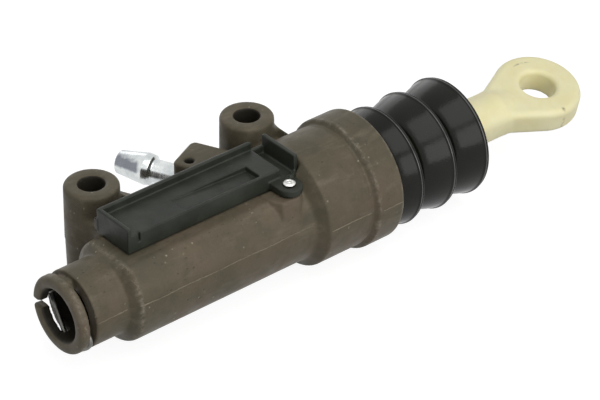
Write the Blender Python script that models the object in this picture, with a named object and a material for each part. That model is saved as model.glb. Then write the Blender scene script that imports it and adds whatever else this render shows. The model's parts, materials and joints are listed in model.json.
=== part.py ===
"""Clutch master cylinder: a moulded housing with a sensor bracket, bellows and push rod.

Everything is in metres. The pieces are laid out along the bore: X runs from the outlet socket
towards the push rod, Z points to the side with the sensor bracket, and X = 0 is the front bolt.
One empty then carries that layout to the part's own origin, which is the centre of the front
bolt hole on the face that is clamped to the car.
"""

import math

import bmesh
import bpy
from mathutils import Matrix, Vector

# Gap between pieces that touch, and the rounding steps of turned and cut shapes
SEAT_GAP = 0.0003
SEGMENTS = 40
BORE_SEGMENTS = 28
SMALL_SEGMENTS = 20
OVERSHOOT = 0.003

# Bolt bosses
BOSS_SPACING = 0.0605
BOSS_OFFSET = 0.0253
BOSS_TOP = 0.0207
BOSS_BOTTOM = 0.0165
BOSS_RADIUS = 0.0089
BOSS_DRAFT = 0.0003
BOSS_EDGE = 0.0012
BOLT_HOLE_RADIUS = 0.0042
BOLT_CHAMFER = 0.0005
PARTING_HEIGHT = 0.0012
WEB_WIDTH = 0.0125
WEB_TOP = 0.0118
WEB_BOTTOM = 0.0125

# Ribs that stiffen the bolt bosses towards the push rod's end
RIB_TOP = 0.0040
RIB_BOTTOM = 0.0015
RIB_NEAR = 0.0200
RIB_FAR = 0.0262
STRUT_WIDTH = 0.0050
STRUT_DEPTH = 0.0022
STRUT_START = 0.0060
STRUT_HEIGHT = 0.0166
STRUT_SLOPE = 35.0
GUSSET_NEAR = 0.0187
GUSSET_FAR = 0.0217
GUSSET_HEIGHT = 0.0156
GUSSET_SLOPE = 45.0

# Outside of the housing along the bore
OUTLET_REACH = 0.0325
SPIGOT_RADIUS = 0.0126
SPIGOT_LENGTH = 0.0175
SPIGOT_EDGE = 0.0020
SHOULDER_LENGTH = 0.0024
SHOULDER_FOOT = 0.0009
SHOULDER_ROUND = 0.0019
BARREL_RADIUS = 0.01625
COLLAR_START = 0.0533
COLLAR_FLARE = 0.0034
COLLAR_RADIUS = 0.0203
COLLAR_LENGTH = 0.0175
COLLAR_LIFT = 0.0012
RING_STEP = 0.0016
RING_RADIUS = 0.0218
RING_LENGTH = 0.0099
EDGE_ROUND = 0.0010

# Outlet socket and the groove of its wire clip
SOCKET_RADIUS = 0.0086
SOCKET_DEPTH = 0.0185
SOCKET_CHAMFER = 0.0009
OUTLET_WALL = 0.0060
OUTLET_PASSAGE_RADIUS = 0.0025
CLIP_WIRE_RADIUS = 0.0008
CLIP_DISTANCE = 0.0046
CLIP_LEG_OFFSET = 0.0069
CLIP_LEG_REACH = 0.0060
CLIP_GROOVE_RADIUS = 0.0110
CLIP_GROOVE_MARGIN = 0.0001
CLIP_SLOT_HALF = 0.0104
CLIP_TURN = 62.0
CLIP_BEND = 0.0020
NOTCH_WIDTH = 0.0027
OUTLET_SEAL_SECTION = 0.0013

# Bore, seals and guide
CHAMBER_RADIUS = 0.0093
CHAMBER_LENGTH = 0.0460
SEAL_BORE_RADIUS = 0.0113
SUPPORT_THICKNESS = 0.0012
CUP_LENGTH = 0.0038
CUP_LIP = 0.0010
CUP_HOLLOW = 0.0024
SPACER_LENGTH = 0.0052
GUIDE_LENGTH = 0.0143
CIRCLIP_THICKNESS = 0.0012
CIRCLIP_DEPTH = 0.0010
CIRCLIP_WIDTH = 0.0026
CIRCLIP_OPENING = 36.0
MOUTH_RADIUS = 0.0165
MOUTH_WALL = 0.0016

# Piston and its spring
STROKE = 0.030
PISTON_RADIUS = 0.0079375
PISTON_OVERLAP = 0.0028
PISTON_NOSE = 0.0070
NOSE_FLANGE_RADIUS = 0.0088
NOSE_FLANGE_LENGTH = 0.0010
NOSE_RADIUS = 0.0064
NOSE_BORE_RADIUS = 0.0056
NOSE_BORE_DEPTH = 0.0170
BLEED_HOLE_RADIUS = 0.0006
BLEED_HOLES = 4
TAIL_BORE_RADIUS = 0.0064
MAGNET_LENGTH = 0.0054
MAGNET_RADIUS = 0.0086
SPRING_WIRE_RADIUS = 0.0006
SPRING_RADIUS = 0.0045
SPRING_TURNS = 9
SPRING_STEPS = 8
SPRING_SEAT_THICKNESS = 0.0010
SPRING_SEAT_RADIUS = 0.0066
SPRING_SEAT_COLLAR = 0.0030
SPRING_SEAT_HOLE = 0.0021

# Push rod
BALL_RADIUS = 0.0054
BALL_PLACE = 0.0220
SHANK_RADIUS = 0.0042
SHANK_LENGTH = 0.0400
SHANK_CONE = 0.0060
ROD_RADIUS = 0.0075
ROD_TAPER_START = 0.0840
ROD_TAPER = 0.0070
EYE_PLACE = 0.1030
EYE_RADIUS = 0.0147
EYE_WAIST = 0.0071
EYE_HOLE_RADIUS = 0.0077
EYE_THICKNESS = 0.0091
EYE_EDGE = 0.0014
EYE_FLARE = 26.0
EYE_FILLET = 0.0110
EYE_TURN = 13.0
RETAINER_RADIUS = 0.00505
RETAINER_DISTANCE = 0.0028
RETAINER_LENGTH = 0.0022

# Bellows
BELLOWS_WALL = 0.0012
BELLOWS_SEGMENTS = 28
FOLD_COUNT = 3
FOLD_PITCH = 0.01384
FOLD_RADIUS = 0.0199
FIRST_FOLD = 0.0103
CUFF_RADIUS = 0.0180
VALLEY_RADIUS = 0.0135
VALLEY_LENGTH = 0.0008
FOLD_FALL = 0.0011
FOLD_STEPS = 4
CUFF_LENGTH = 0.0085
CUFF_BEAD = 0.0008
CUFF_BEAD_LENGTH = 0.0016
NECK_LENGTH = 0.0052
NECK_GROOVE = 0.0006
NECK_GROOVE_LENGTH = 0.0026

# Inlet nipple and the boss that carries it
NIPPLE_HEIGHT = 0.0053
NIPPLE_TURN = 115.5
NIPPLE_FACE_X = 0.03705
NIPPLE_FACE_Y = 0.02845
NIPPLE_BOSS_HALF = 0.0072
NIPPLE_BOSS_TOP = 0.0140
NIPPLE_BOSS_BOTTOM = 0.0034
NIPPLE_NECK_LENGTH = 0.0109
NIPPLE_NECK_RADIUS = 0.0038
NIPPLE_BARB_RADIUS = 0.0048
NIPPLE_BARB_LENGTH = 0.0120
NIPPLE_TIP_RADIUS = 0.0030
NIPPLE_BORE_RADIUS = 0.0013
NIPPLE_ROOT_RADIUS = 0.0032
NIPPLE_ROOT_LENGTH = 0.0105
NIPPLE_GROOVE_RADIUS = 0.0020
INLET_SEAL_SECTION = 0.0008
ROLL_PIN_RADIUS = 0.0010
ROLL_PIN_BORE = 0.0005
ROLL_PIN_DISTANCE = 0.0042
ROLL_PIN_LENGTH = 0.0120
ROLL_PIN_RECESS = 0.0012

# Sensor bracket on its flat beside the bore
FLAT_HEIGHT = 0.01355
FLAT_FRONT = 0.0105
FLAT_RAMP_DROP = 0.0009
TRAY_FRONT = 0.0087
TRAY_LENGTH = 0.0583
TRAY_NEAR = 0.0046
TRAY_FAR = 0.0110
TRAY_FLOOR = 0.0200
TRAY_LIP = 0.0025
TRAY_LIP_WIDTH = 0.0014
TRAY_WALL = 0.0015
TRAY_RIBS = 2
REAR_FLOOR = 0.0170
REAR_LENGTH = 0.0062
REAR_WALL = 0.0013
REAR_WALL_TOP = 0.0230
POCKET_FRONT = 0.0134
POCKET_REAR = 0.0423
POCKET_FAR = 0.0035
POCKET_DEPTH = 0.0010
RIVET_RADIUS = 0.00135
RIVET_HEAD_RADIUS = 0.00205
RIVET_HEAD_HEIGHT = 0.0007
RIVET_DEPTH = 0.0060
LUG_RADIUS = 0.0042
LUG_THICKNESS = 0.0024
RIVET_INSET = 0.0005
RIVET_Y = 0.0093
HOOK_LENGTH = 0.0030
HOOK_WIDTH = 0.0012
HOOK_LOW = 0.0148
HOOK_TOP = 0.0188
POST_FRONT = 0.0059
POST_BACK = 0.0027
POST_REACH = 0.0041
POST_FOOT = 0.0044
POST_DRAFT = 12.5


# Places along the bore that follow from the sizes above
def stack(start, *lengths):
    """Return the front faces of pieces that follow each other with a seat gap."""
    places = []
    for length in lengths:
        places.append(start + SEAT_GAP)
        start += SEAT_GAP + length
    return places + [start + SEAT_GAP]


OUTLET_FACE = -OUTLET_REACH
SOCKET_FLOOR = OUTLET_FACE + SOCKET_DEPTH
CHAMBER_FRONT = SOCKET_FLOOR + OUTLET_WALL
SEAL_BORE_FRONT = CHAMBER_FRONT + CHAMBER_LENGTH
SUPPORT_X, PRIMARY_X, SPACER_X, SECONDARY_X, GUIDE_X, CIRCLIP_X, CIRCLIP_END = stack(
    SEAL_BORE_FRONT, SUPPORT_THICKNESS, CUP_LENGTH, SPACER_LENGTH, CUP_LENGTH, GUIDE_LENGTH,
    CIRCLIP_THICKNESS)
MOUTH_FRONT = CIRCLIP_END + MOUTH_WALL
RING_START = COLLAR_START + COLLAR_FLARE + COLLAR_LENGTH
COLLAR_END = RING_START + RING_STEP + RING_LENGTH
CUFF_FRONT = COLLAR_END - CUFF_LENGTH
CLIP_X = OUTLET_FACE + CLIP_DISTANCE
CLIP_SLOT_WIDTH = 2 * (CLIP_WIRE_RADIUS + SEAT_GAP)
PISTON_REST = SEAL_BORE_FRONT
PISTON_TAIL = SECONDARY_X + CUP_LENGTH + PISTON_OVERLAP + STROKE - PISTON_REST
BALL_X = PISTON_REST + BALL_PLACE
NECK_X = COLLAR_END + FIRST_FOLD + (FOLD_COUNT - 1) * FOLD_PITCH + FOLD_FALL
TRAY_BOTTOM = FLAT_HEIGHT + SEAT_GAP
TRAY_REAR = TRAY_LENGTH - TRAY_FRONT
NIPPLE_AXIS = Vector((math.cos(math.radians(NIPPLE_TURN)), math.sin(math.radians(NIPPLE_TURN)), 0))
NIPPLE_FACE = Vector((NIPPLE_FACE_X, NIPPLE_FACE_Y, NIPPLE_HEIGHT))
RIVET_X = TRAY_REAR - RIVET_INSET
RIVET_SPOT = Vector((RIVET_X, -RIVET_Y, REAR_FLOOR))


def clear_scene():
    """Remove whatever the file holds."""
    for item in list(bpy.data.objects):
        bpy.data.objects.remove(item, do_unlink=True)


def material(name, colour, roughness, metallic=0.0):
    """Return a Principled material."""
    found = bpy.data.materials.get(name)
    if found:
        return found
    made = bpy.data.materials.new(name)
    made.use_nodes = True
    shader = made.node_tree.nodes["Principled BSDF"]
    shader.inputs["Base Color"].default_value = (*colour, 1.0)
    shader.inputs["Roughness"].default_value = roughness
    shader.inputs["Metallic"].default_value = metallic
    return made


def phenolic():
    return material("brown_phenolic", (0.115, 0.095, 0.068), 0.55)


def black_plastic():
    return material("black_plastic", (0.022, 0.023, 0.021), 0.5)


def cream_plastic():
    return material("cream_plastic", (0.82, 0.76, 0.50), 0.4)


def rubber():
    return material("black_rubber", (0.012, 0.012, 0.011), 0.35)


def seal_rubber():
    return material("seal_rubber", (0.02, 0.02, 0.02), 0.5)


def bright_steel():
    return material("bright_steel", (0.62, 0.62, 0.60), 0.25, 1.0)


def zinc_plate():
    return material("zinc_plate", (0.72, 0.74, 0.76), 0.18, 1.0)


def grey_plastic():
    return material("grey_plastic", (0.30, 0.30, 0.29), 0.45)


def magnet_black():
    return material("magnet_black", (0.05, 0.05, 0.055), 0.6)


def rounded(corners, steps=3, closed=True):
    """Turn corners (a, b, radius) into points, each corner as an arc no longer than its sides."""
    points = []
    count = len(corners)
    for index, (a, b, radius) in enumerate(corners):
        corner = Vector((a, b))
        inside = closed or 0 < index < count - 1
        if radius <= 0 or not inside:
            points.append(corner)
            continue
        before = Vector(corners[index - 1][:2]) - corner
        after = Vector(corners[(index + 1) % count][:2]) - corner
        half = before.angle(after) / 2
        reach = min(radius / math.tan(half), 0.48 * before.length, 0.48 * after.length)
        start = corner + before.normalized() * reach
        end = corner + after.normalized() * reach
        middle = corner + (before.normalized() + after.normalized()).normalized() * reach / math.cos(half)
        sweep = (start - middle).angle_signed(end - middle)
        for step in range(steps + 1):
            turn = Matrix.Rotation(-sweep * step / steps, 2)
            points.append(middle + turn @ (start - middle))
    return points


def arc(centre, radius, start, end, steps):
    """Points on an arc, in degrees, with both ends."""
    angles = [math.radians(start + (end - start) * step / steps) for step in range(steps + 1)]
    return [Vector((centre[0] + radius * math.cos(a), centre[1] + radius * math.sin(a))) for a in angles]


def turned(outline, segments=SEGMENTS):
    """Spin an outline of (x, radius) points round the X axis into a closed mesh."""
    shape = bmesh.new()
    verts = [shape.verts.new((x, max(radius, 0.0), 0)) for x, radius in outline]
    edges = []
    for first, second in zip(verts, verts[1:] + verts[:1]):
        if first.co.y > 0 or second.co.y > 0:
            edges.append(shape.edges.new((first, second)))
    bmesh.ops.spin(shape, geom=verts + edges, cent=(0, 0, 0), axis=(1, 0, 0), dvec=(0, 0, 0),
                   angle=math.tau, steps=segments)
    bmesh.ops.remove_doubles(shape, verts=shape.verts, dist=1e-7)
    flat_ends = [vert for vert in shape.verts if vert.co.yz.length < 1e-9
                 and all(abs(edge.other_vert(vert).co.x - vert.co.x) < 1e-9 for edge in vert.link_edges)]
    bmesh.ops.dissolve_verts(shape, verts=flat_ends)
    bmesh.ops.recalc_face_normals(shape, faces=shape.faces)
    return shape


def extruded(outline, bottom, top):
    """Raise a flat outline of (x, y) points from one height to another."""
    shape = bmesh.new()
    face = shape.faces.new([shape.verts.new((x, y, bottom)) for x, y in outline])
    raised = bmesh.ops.extrude_face_region(shape, geom=[face])
    tops = [item for item in raised["geom"] if isinstance(item, bmesh.types.BMVert)]
    bmesh.ops.translate(shape, verts=tops, vec=(0, 0, top - bottom))
    bmesh.ops.recalc_face_normals(shape, faces=shape.faces)
    return shape


def block(low, high):
    """A box between two corners."""
    outline = [(low[0], low[1]), (high[0], low[1]), (high[0], high[1]), (low[0], high[1])]
    return extruded(outline, low[2], high[2])


def rod_outline(start, end, radius, chamfer=0.0):
    """Outline of a plain cylinder along X with an optional chamfer at both ends."""
    return [(start, 0), (start, radius - chamfer), (start + chamfer, radius),
            (end - chamfer, radius), (end, radius - chamfer), (end, 0)] if chamfer else [
                (start, 0), (start, radius), (end, radius), (end, 0)]


def tube_outline(start, end, inner, outer, edge=0.0, steps=1):
    """Outline of a ring along X with rounded outer edges."""
    return rounded([(start, inner, 0), (start, outer, edge), (end, outer, edge), (end, inner, 0)], steps)


def place(name, shape, finish, location=(0, 0, 0), rotation=None, parent=None):
    """Make an object of a shape and hang it on the bore's empty."""
    mesh = bpy.data.meshes.new(name)
    shape.to_mesh(mesh)
    shape.free()
    mesh.shade_smooth()
    mesh.set_sharp_from_angle(angle=math.radians(35))
    thing = bpy.data.objects.new(name, mesh)
    bpy.context.scene.collection.objects.link(thing)
    mesh.materials.append(finish)
    thing.parent = parent or bpy.data.objects["bore_axis"]
    thing.location = location
    if rotation:
        thing.rotation_mode = "QUATERNION"
        thing.rotation_quaternion = rotation.to_quaternion()
    return thing


def combine(target, operation, name, shape, location=(0, 0, 0), rotation=None):
    """Join a shape to an object, or cut it out, with an exact Boolean."""
    tool = place(name, shape, target.data.materials[0], location, rotation, target.parent)
    tool.hide_render = True
    tool.display_type = "WIRE"
    step = target.modifiers.new(name, "BOOLEAN")
    step.operation = operation
    step.solver = "EXACT"
    step.object = tool


def frame_along(direction, up=(0, 0, 1)):
    """Rotation that takes local X to a direction and keeps local Z near up."""
    first = Vector(direction).normalized()
    second = Vector(up).cross(first).normalized()
    third = first.cross(second)
    return Matrix((first, second, third)).transposed()


UPRIGHT = frame_along((0, 0, 1), (0, 1, 0))
ON_EDGE = Matrix.Rotation(math.pi / 2, 3, "X")
EYE_ROLL = Matrix.Rotation(math.radians(EYE_TURN), 3, "X")


def housing_outline():
    """Outer outline of the spigot and the barrel as (x, radius)."""
    spigot_end = OUTLET_FACE + SPIGOT_LENGTH
    barrel_start = spigot_end + SHOULDER_LENGTH
    groove_half = CLIP_SLOT_WIDTH / 2 + CLIP_GROOVE_MARGIN
    groove_front = CLIP_X - groove_half
    groove_back = CLIP_X + groove_half
    corners = [
        (OUTLET_FACE, 0, 0),
        (OUTLET_FACE, SPIGOT_RADIUS, SPIGOT_EDGE),
        (groove_front, SPIGOT_RADIUS, 0),
        (groove_front, CLIP_GROOVE_RADIUS, 0),
        (groove_back, CLIP_GROOVE_RADIUS, 0),
        (groove_back, SPIGOT_RADIUS, 0),
        (spigot_end, SPIGOT_RADIUS, SHOULDER_FOOT),
        (barrel_start, BARREL_RADIUS, SHOULDER_ROUND),
        (COLLAR_START + COLLAR_FLARE, BARREL_RADIUS, 0),
        (COLLAR_START + COLLAR_FLARE, 0, 0),
    ]
    return rounded(corners, 2)


def collar_outline():
    """Outer outline of the collar, whose axis lies a little above the bore's."""
    return rounded([
        (COLLAR_START, 0, 0),
        (COLLAR_START, BARREL_RADIUS - COLLAR_LIFT, 0),
        (COLLAR_START + COLLAR_FLARE, COLLAR_RADIUS, EDGE_ROUND),
        (RING_START, COLLAR_RADIUS, EDGE_ROUND),
        (RING_START + RING_STEP, RING_RADIUS, EDGE_ROUND),
        (COLLAR_END, RING_RADIUS, EDGE_ROUND),
        (COLLAR_END, 0, 0),
    ], 2)


def bore_outline():
    """Outline of everything hollow on the bore's axis, open at both ends."""
    bead_start = CUFF_FRONT + CUFF_LENGTH / 3
    bead_radius = CUFF_RADIUS + CUFF_BEAD + SEAT_GAP
    cuff_bore = CUFF_RADIUS + SEAT_GAP
    groove_radius = SEAL_BORE_RADIUS + CIRCLIP_DEPTH + SEAT_GAP
    corners = [
        (OUTLET_FACE - OVERSHOOT, 0),
        (OUTLET_FACE - OVERSHOOT, SOCKET_RADIUS + SOCKET_CHAMFER + OVERSHOOT),
        (OUTLET_FACE + SOCKET_CHAMFER, SOCKET_RADIUS),
        (SOCKET_FLOOR, SOCKET_RADIUS),
        (SOCKET_FLOOR, OUTLET_PASSAGE_RADIUS),
        (CHAMBER_FRONT, OUTLET_PASSAGE_RADIUS),
        (CHAMBER_FRONT, CHAMBER_RADIUS),
        (SEAL_BORE_FRONT, CHAMBER_RADIUS),
        (SEAL_BORE_FRONT, SEAL_BORE_RADIUS),
        (CIRCLIP_X - SEAT_GAP, SEAL_BORE_RADIUS),
        (CIRCLIP_X - SEAT_GAP, groove_radius),
        (CIRCLIP_END, groove_radius),
        (CIRCLIP_END, SEAL_BORE_RADIUS),
        (MOUTH_FRONT, SEAL_BORE_RADIUS),
        (MOUTH_FRONT, MOUTH_RADIUS),
        (CUFF_FRONT - SEAT_GAP, MOUTH_RADIUS),
        (CUFF_FRONT - SEAT_GAP, cuff_bore),
        (bead_start - SEAT_GAP, cuff_bore),
        (bead_start - SEAT_GAP, bead_radius),
        (bead_start + CUFF_BEAD_LENGTH + SEAT_GAP, bead_radius),
        (bead_start + CUFF_BEAD_LENGTH + SEAT_GAP, cuff_bore),
        (COLLAR_END + OVERSHOOT, cuff_bore),
        (COLLAR_END + OVERSHOOT, 0),
    ]
    return corners


def boss_outline():
    """Outline of one bolt boss along its axis, widest where the mould parts."""
    low = BOSS_RADIUS - BOSS_DRAFT
    return rounded([
        (-BOSS_BOTTOM, 0, 0),
        (-BOSS_BOTTOM, low, BOSS_EDGE),
        (PARTING_HEIGHT, BOSS_RADIUS, 0),
        (BOSS_TOP, low, BOSS_EDGE),
        (BOSS_TOP, 0, 0),
    ], 1)


def bolt_hole_outline():
    """Outline of a bolt hole with a chamfer at both faces."""
    flare = BOLT_HOLE_RADIUS + BOLT_CHAMFER + OVERSHOOT
    return [
        (-BOSS_BOTTOM - OVERSHOOT, 0),
        (-BOSS_BOTTOM - OVERSHOOT, flare),
        (-BOSS_BOTTOM + BOLT_CHAMFER, BOLT_HOLE_RADIUS),
        (BOSS_TOP - BOLT_CHAMFER, BOLT_HOLE_RADIUS),
        (BOSS_TOP + OVERSHOOT, flare),
        (BOSS_TOP + OVERSHOOT, 0),
    ]


def nipple_boss_outline():
    """Plan of the web that carries the nipple, square to the nipple at its outer end."""
    across = Vector((-NIPPLE_AXIS.y, NIPPLE_AXIS.x))
    face = NIPPLE_FACE.xy
    left = face + across * NIPPLE_BOSS_HALF
    right = face - across * NIPPLE_BOSS_HALF
    inward = -NIPPLE_AXIS.xy
    depth = (NIPPLE_FACE_Y - CHAMBER_RADIUS - BARREL_RADIUS / 8) / abs(inward.y)
    return rounded([
        (*(left + inward * (depth - NIPPLE_BOSS_HALF / 2)), 0),
        (*(right + inward * depth), 0),
        (*right, EDGE_ROUND * 2),
        (*left, EDGE_ROUND * 2),
    ])


def nipple_hole_outline():
    """Stepped hole for the nipple, from outside the web to the seal chamber."""
    seal_space = NIPPLE_ROOT_RADIUS + 2 * INLET_SEAL_SECTION
    seal_depth = 2 * INLET_SEAL_SECTION + 2 * SEAT_GAP
    reach = NIPPLE_FACE.xy.length
    return [
        (OVERSHOOT, 0),
        (OVERSHOOT, seal_space),
        (-seal_depth, seal_space),
        (-seal_depth, NIPPLE_ROOT_RADIUS + SEAT_GAP),
        (-NIPPLE_ROOT_LENGTH - SEAT_GAP, NIPPLE_ROOT_RADIUS + SEAT_GAP),
        (-NIPPLE_ROOT_LENGTH - SEAT_GAP, NIPPLE_BORE_RADIUS),
        (-reach + SEAL_BORE_RADIUS - OVERSHOOT / 3, NIPPLE_BORE_RADIUS),
        (-reach + SEAL_BORE_RADIUS - OVERSHOOT / 3, 0),
    ]


def roll_pin_place():
    """Where the pin crosses the nipple's groove, at the top of the web."""
    across = Vector((-NIPPLE_AXIS.y, NIPPLE_AXIS.x, 0))
    offset = NIPPLE_GROOVE_RADIUS + SEAT_GAP + ROLL_PIN_RADIUS
    spot = NIPPLE_FACE - NIPPLE_AXIS * ROLL_PIN_DISTANCE + across * offset
    return Vector((spot.x, spot.y, NIPPLE_BOSS_TOP))


def flat_shape():
    """Side view of what is cut from the barrel's top: a level flat with a ramp at its front."""
    top = BARREL_RADIUS + OVERSHOOT
    foot = OUTLET_FACE + SPIGOT_LENGTH
    side = [
        (foot, FLAT_HEIGHT - FLAT_RAMP_DROP),
        (-FLAT_FRONT, FLAT_HEIGHT),
        (COLLAR_START + EDGE_ROUND / 4, FLAT_HEIGHT),
        (COLLAR_START + EDGE_ROUND / 4, top),
        (foot, top),
    ]
    return extruded(side, 0, 2 * BARREL_RADIUS)


def make_housing():
    """The moulded housing: turned body, bosses, webs and posts, then every hole."""
    body = place("cylinder_body", turned(housing_outline()), phenolic())
    combine(body, "UNION", "add_collar", turned(collar_outline()), (0, 0, COLLAR_LIFT))
    combine(body, "DIFFERENCE", "cut_sensor_flat", flat_shape(), (0, BARREL_RADIUS, 0), ON_EDGE)
    room_low = (COLLAR_START - EDGE_ROUND, -TRAY_NEAR - EDGE_ROUND, FLAT_HEIGHT - SEAT_GAP)
    room_high = (TRAY_REAR + REAR_LENGTH + EDGE_ROUND / 2, TRAY_FAR + EDGE_ROUND / 2, RING_RADIUS + OVERSHOOT)
    combine(body, "DIFFERENCE", "cut_bracket_room", block(room_low, room_high))
    for label, x in (("front", 0.0), ("rear", BOSS_SPACING)):
        centre = (x, BOSS_OFFSET, 0)
        web = block((x - WEB_WIDTH / 2, BARREL_RADIUS / 2, -WEB_BOTTOM), (x + WEB_WIDTH / 2, BOSS_OFFSET, WEB_TOP))
        combine(body, "UNION", f"add_web_{label}", web)
        combine(body, "UNION", f"add_boss_{label}", turned(boss_outline(), BORE_SEGMENTS), centre, UPRIGHT)
    nipple_web = extruded(nipple_boss_outline(), -NIPPLE_BOSS_BOTTOM, NIPPLE_BOSS_TOP)
    combine(body, "UNION", "add_nipple_web", nipple_web)
    add_boss_ribs(body)
    combine(body, "UNION", "add_rear_post", post_shape())
    combine(body, "DIFFERENCE", "cut_bore", turned(bore_outline(), BORE_SEGMENTS))
    for label, x in (("front", 0.0), ("rear", BOSS_SPACING)):
        hole = turned(bolt_hole_outline(), SMALL_SEGMENTS)
        combine(body, "DIFFERENCE", f"cut_bolt_{label}", hole, (x, BOSS_OFFSET, 0), UPRIGHT)
    inlet = turned(nipple_hole_outline(), SMALL_SEGMENTS)
    combine(body, "DIFFERENCE", "cut_inlet", inlet, NIPPLE_FACE, frame_along(NIPPLE_AXIS))
    pin_hole = turned(rod_outline(-ROLL_PIN_LENGTH - ROLL_PIN_RECESS - SEAT_GAP, OVERSHOOT,
                                  ROLL_PIN_RADIUS + SEAT_GAP), SMALL_SEGMENTS // 2)
    combine(body, "DIFFERENCE", "cut_roll_pin", pin_hole, roll_pin_place(), UPRIGHT)
    combine(body, "DIFFERENCE", "cut_rivet", rivet_hole(), RIVET_SPOT, UPRIGHT)
    cut_clip_slots(body)


def add_boss_ribs(body):
    """Level rib and sloping strut behind the front boss, and a gusset behind the rear boss."""
    web_edge = NIPPLE_FACE_X - NIPPLE_BOSS_HALF * NIPPLE_AXIS.y
    rib = block((BOSS_RADIUS / 2, RIB_NEAR, -RIB_BOTTOM), (web_edge + RIB_BOTTOM, RIB_FAR, RIB_TOP))
    combine(body, "UNION", "add_front_rib", rib)
    length = (STRUT_HEIGHT - RIB_TOP / 2) / math.sin(math.radians(STRUT_SLOPE))
    strut = block((0, -STRUT_WIDTH / 2, -STRUT_DEPTH), (length, STRUT_WIDTH / 2, 0))
    middle = (RIB_NEAR + RIB_FAR) / 2
    combine(body, "UNION", "add_front_strut", strut, (STRUT_START, middle, STRUT_HEIGHT),
            Matrix.Rotation(math.radians(STRUT_SLOPE), 3, "Y"))
    start = BOSS_SPACING + BOSS_RADIUS / 2
    crest = BOSS_SPACING + BOSS_RADIUS * 0.9
    end = RING_START + RING_STEP
    low = GUSSET_HEIGHT - (end - crest) * math.tan(math.radians(GUSSET_SLOPE))
    side = [(start, -RIB_BOTTOM), (end, -RIB_BOTTOM), (end, low), (crest, GUSSET_HEIGHT), (start, GUSSET_HEIGHT)]
    gusset = extruded(side, 0, GUSSET_FAR - GUSSET_NEAR)
    combine(body, "UNION", "add_rear_gusset", gusset, (0, GUSSET_FAR, 0), ON_EDGE)


def post_shape():
    """Post under the rivet's lug: a block with rounded near corners that widens downwards."""
    top = REAR_FLOOR - LUG_THICKNESS - SEAT_GAP
    near = -RIVET_Y - POST_REACH
    inner = -TRAY_NEAR - 2 * SEAT_GAP
    outline = rounded([
        (RIVET_X - POST_FRONT, inner, 0),
        (RIVET_X - POST_FRONT, near + EDGE_ROUND, EDGE_ROUND * 2),
        (RIVET_X, near, POST_REACH),
        (RIVET_X + POST_BACK, near + EDGE_ROUND, EDGE_ROUND),
        (RIVET_X + POST_BACK, inner, 0),
    ])
    shape = extruded(outline, POST_FOOT, top)
    spread = (top - POST_FOOT) * math.tan(math.radians(POST_DRAFT))
    for vert in shape.verts:
        if vert.co.z < top - EDGE_ROUND:
            vert.co.y *= 1 - spread / near
            vert.co.x += (vert.co.x - RIVET_X) * spread / (POST_FRONT * 2)
    return shape


def clip_frame():
    """Rotation whose local Z is the way the clip is pushed in, and whose X is the bore's."""
    turn = math.radians(CLIP_TURN)
    return frame_along((1, 0, 0), (0, math.cos(turn), math.sin(turn)))


def cut_clip_slots(body):
    """Two slots where the clip's legs pass through the wall, and the notch in the end."""
    half = CLIP_SLOT_WIDTH / 2
    inner = CLIP_LEG_OFFSET - half
    outer = SPIGOT_RADIUS + OVERSHOOT
    for label, side in (("near", 1), ("far", -1)):
        low_y, high_y = sorted((side * inner, side * outer))
        slot = block((-half, low_y, -CLIP_SLOT_HALF), (half, high_y, CLIP_SLOT_HALF))
        combine(body, "DIFFERENCE", f"cut_clip_slot_{label}", slot, (CLIP_X, 0, 0), clip_frame())
    notch = block((OUTLET_FACE - OVERSHOOT, 0, -NOTCH_WIDTH), (CLIP_X, outer, 0))
    combine(body, "DIFFERENCE", "cut_end_notch", notch, (0, 0, NOTCH_WIDTH / 4))


def rivet_hole():
    """Hole for the rivet, down from the top of its lug."""
    return turned(rod_outline(-RIVET_DEPTH - SEAT_GAP, OVERSHOOT, RIVET_RADIUS + SEAT_GAP), SMALL_SEGMENTS // 2)


def make_wire_clip():
    """The bent spring wire that holds the pressure pipe."""
    bow = CLIP_GROOVE_RADIUS + CLIP_WIRE_RADIUS + SEAT_GAP
    drop = math.sqrt(bow ** 2 - CLIP_LEG_OFFSET ** 2)
    lean = math.degrees(math.atan2(drop, CLIP_LEG_OFFSET))
    corner = (CLIP_LEG_OFFSET, -drop)
    right = rounded([(CLIP_LEG_OFFSET, CLIP_LEG_REACH, 0), (*corner, CLIP_BEND),
                     (*arc((0, 0), bow, -lean - 12, -lean - 24, 1)[0], 0)], 3, closed=False)
    middle = arc((0, 0), bow, -lean - 24, lean - 180 + 24, 4)
    left = [Vector((-point.x, point.y)) for point in reversed(right)]
    route = right[:-1] + middle + left[1:]
    curve = bpy.data.curves.new("outlet_wire_clip", "CURVE")
    curve.dimensions = "3D"
    curve.bevel_depth = CLIP_WIRE_RADIUS
    curve.bevel_resolution = 2
    curve.use_fill_caps = True
    line = curve.splines.new("POLY")
    line.points.add(len(route) - 1)
    for knot, point in zip(line.points, route):
        knot.co = (0, point.x, point.y, 1)
    curve.materials.append(bright_steel())
    clip = bpy.data.objects.new("outlet_wire_clip", curve)
    bpy.context.scene.collection.objects.link(clip)
    clip.parent = bpy.data.objects["bore_axis"]
    clip.location = (CLIP_X, 0, 0)
    clip.rotation_mode = "QUATERNION"
    clip.rotation_quaternion = clip_frame().to_quaternion()


def ring_section(inner, section, start):
    """Outline of a round-section seal ring that lies on an inner radius."""
    return arc((start + section, inner + section), section, 0, 300, 5)


def make_socket_seal():
    """Seal ring at the bottom of the outlet socket."""
    inner = SOCKET_RADIUS - SEAT_GAP - 2 * OUTLET_SEAL_SECTION
    outline = ring_section(inner, OUTLET_SEAL_SECTION, SOCKET_FLOOR - SEAT_GAP - 2 * OUTLET_SEAL_SECTION)
    place("outlet_seal_ring", turned(outline, SMALL_SEGMENTS), seal_rubber())


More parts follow.
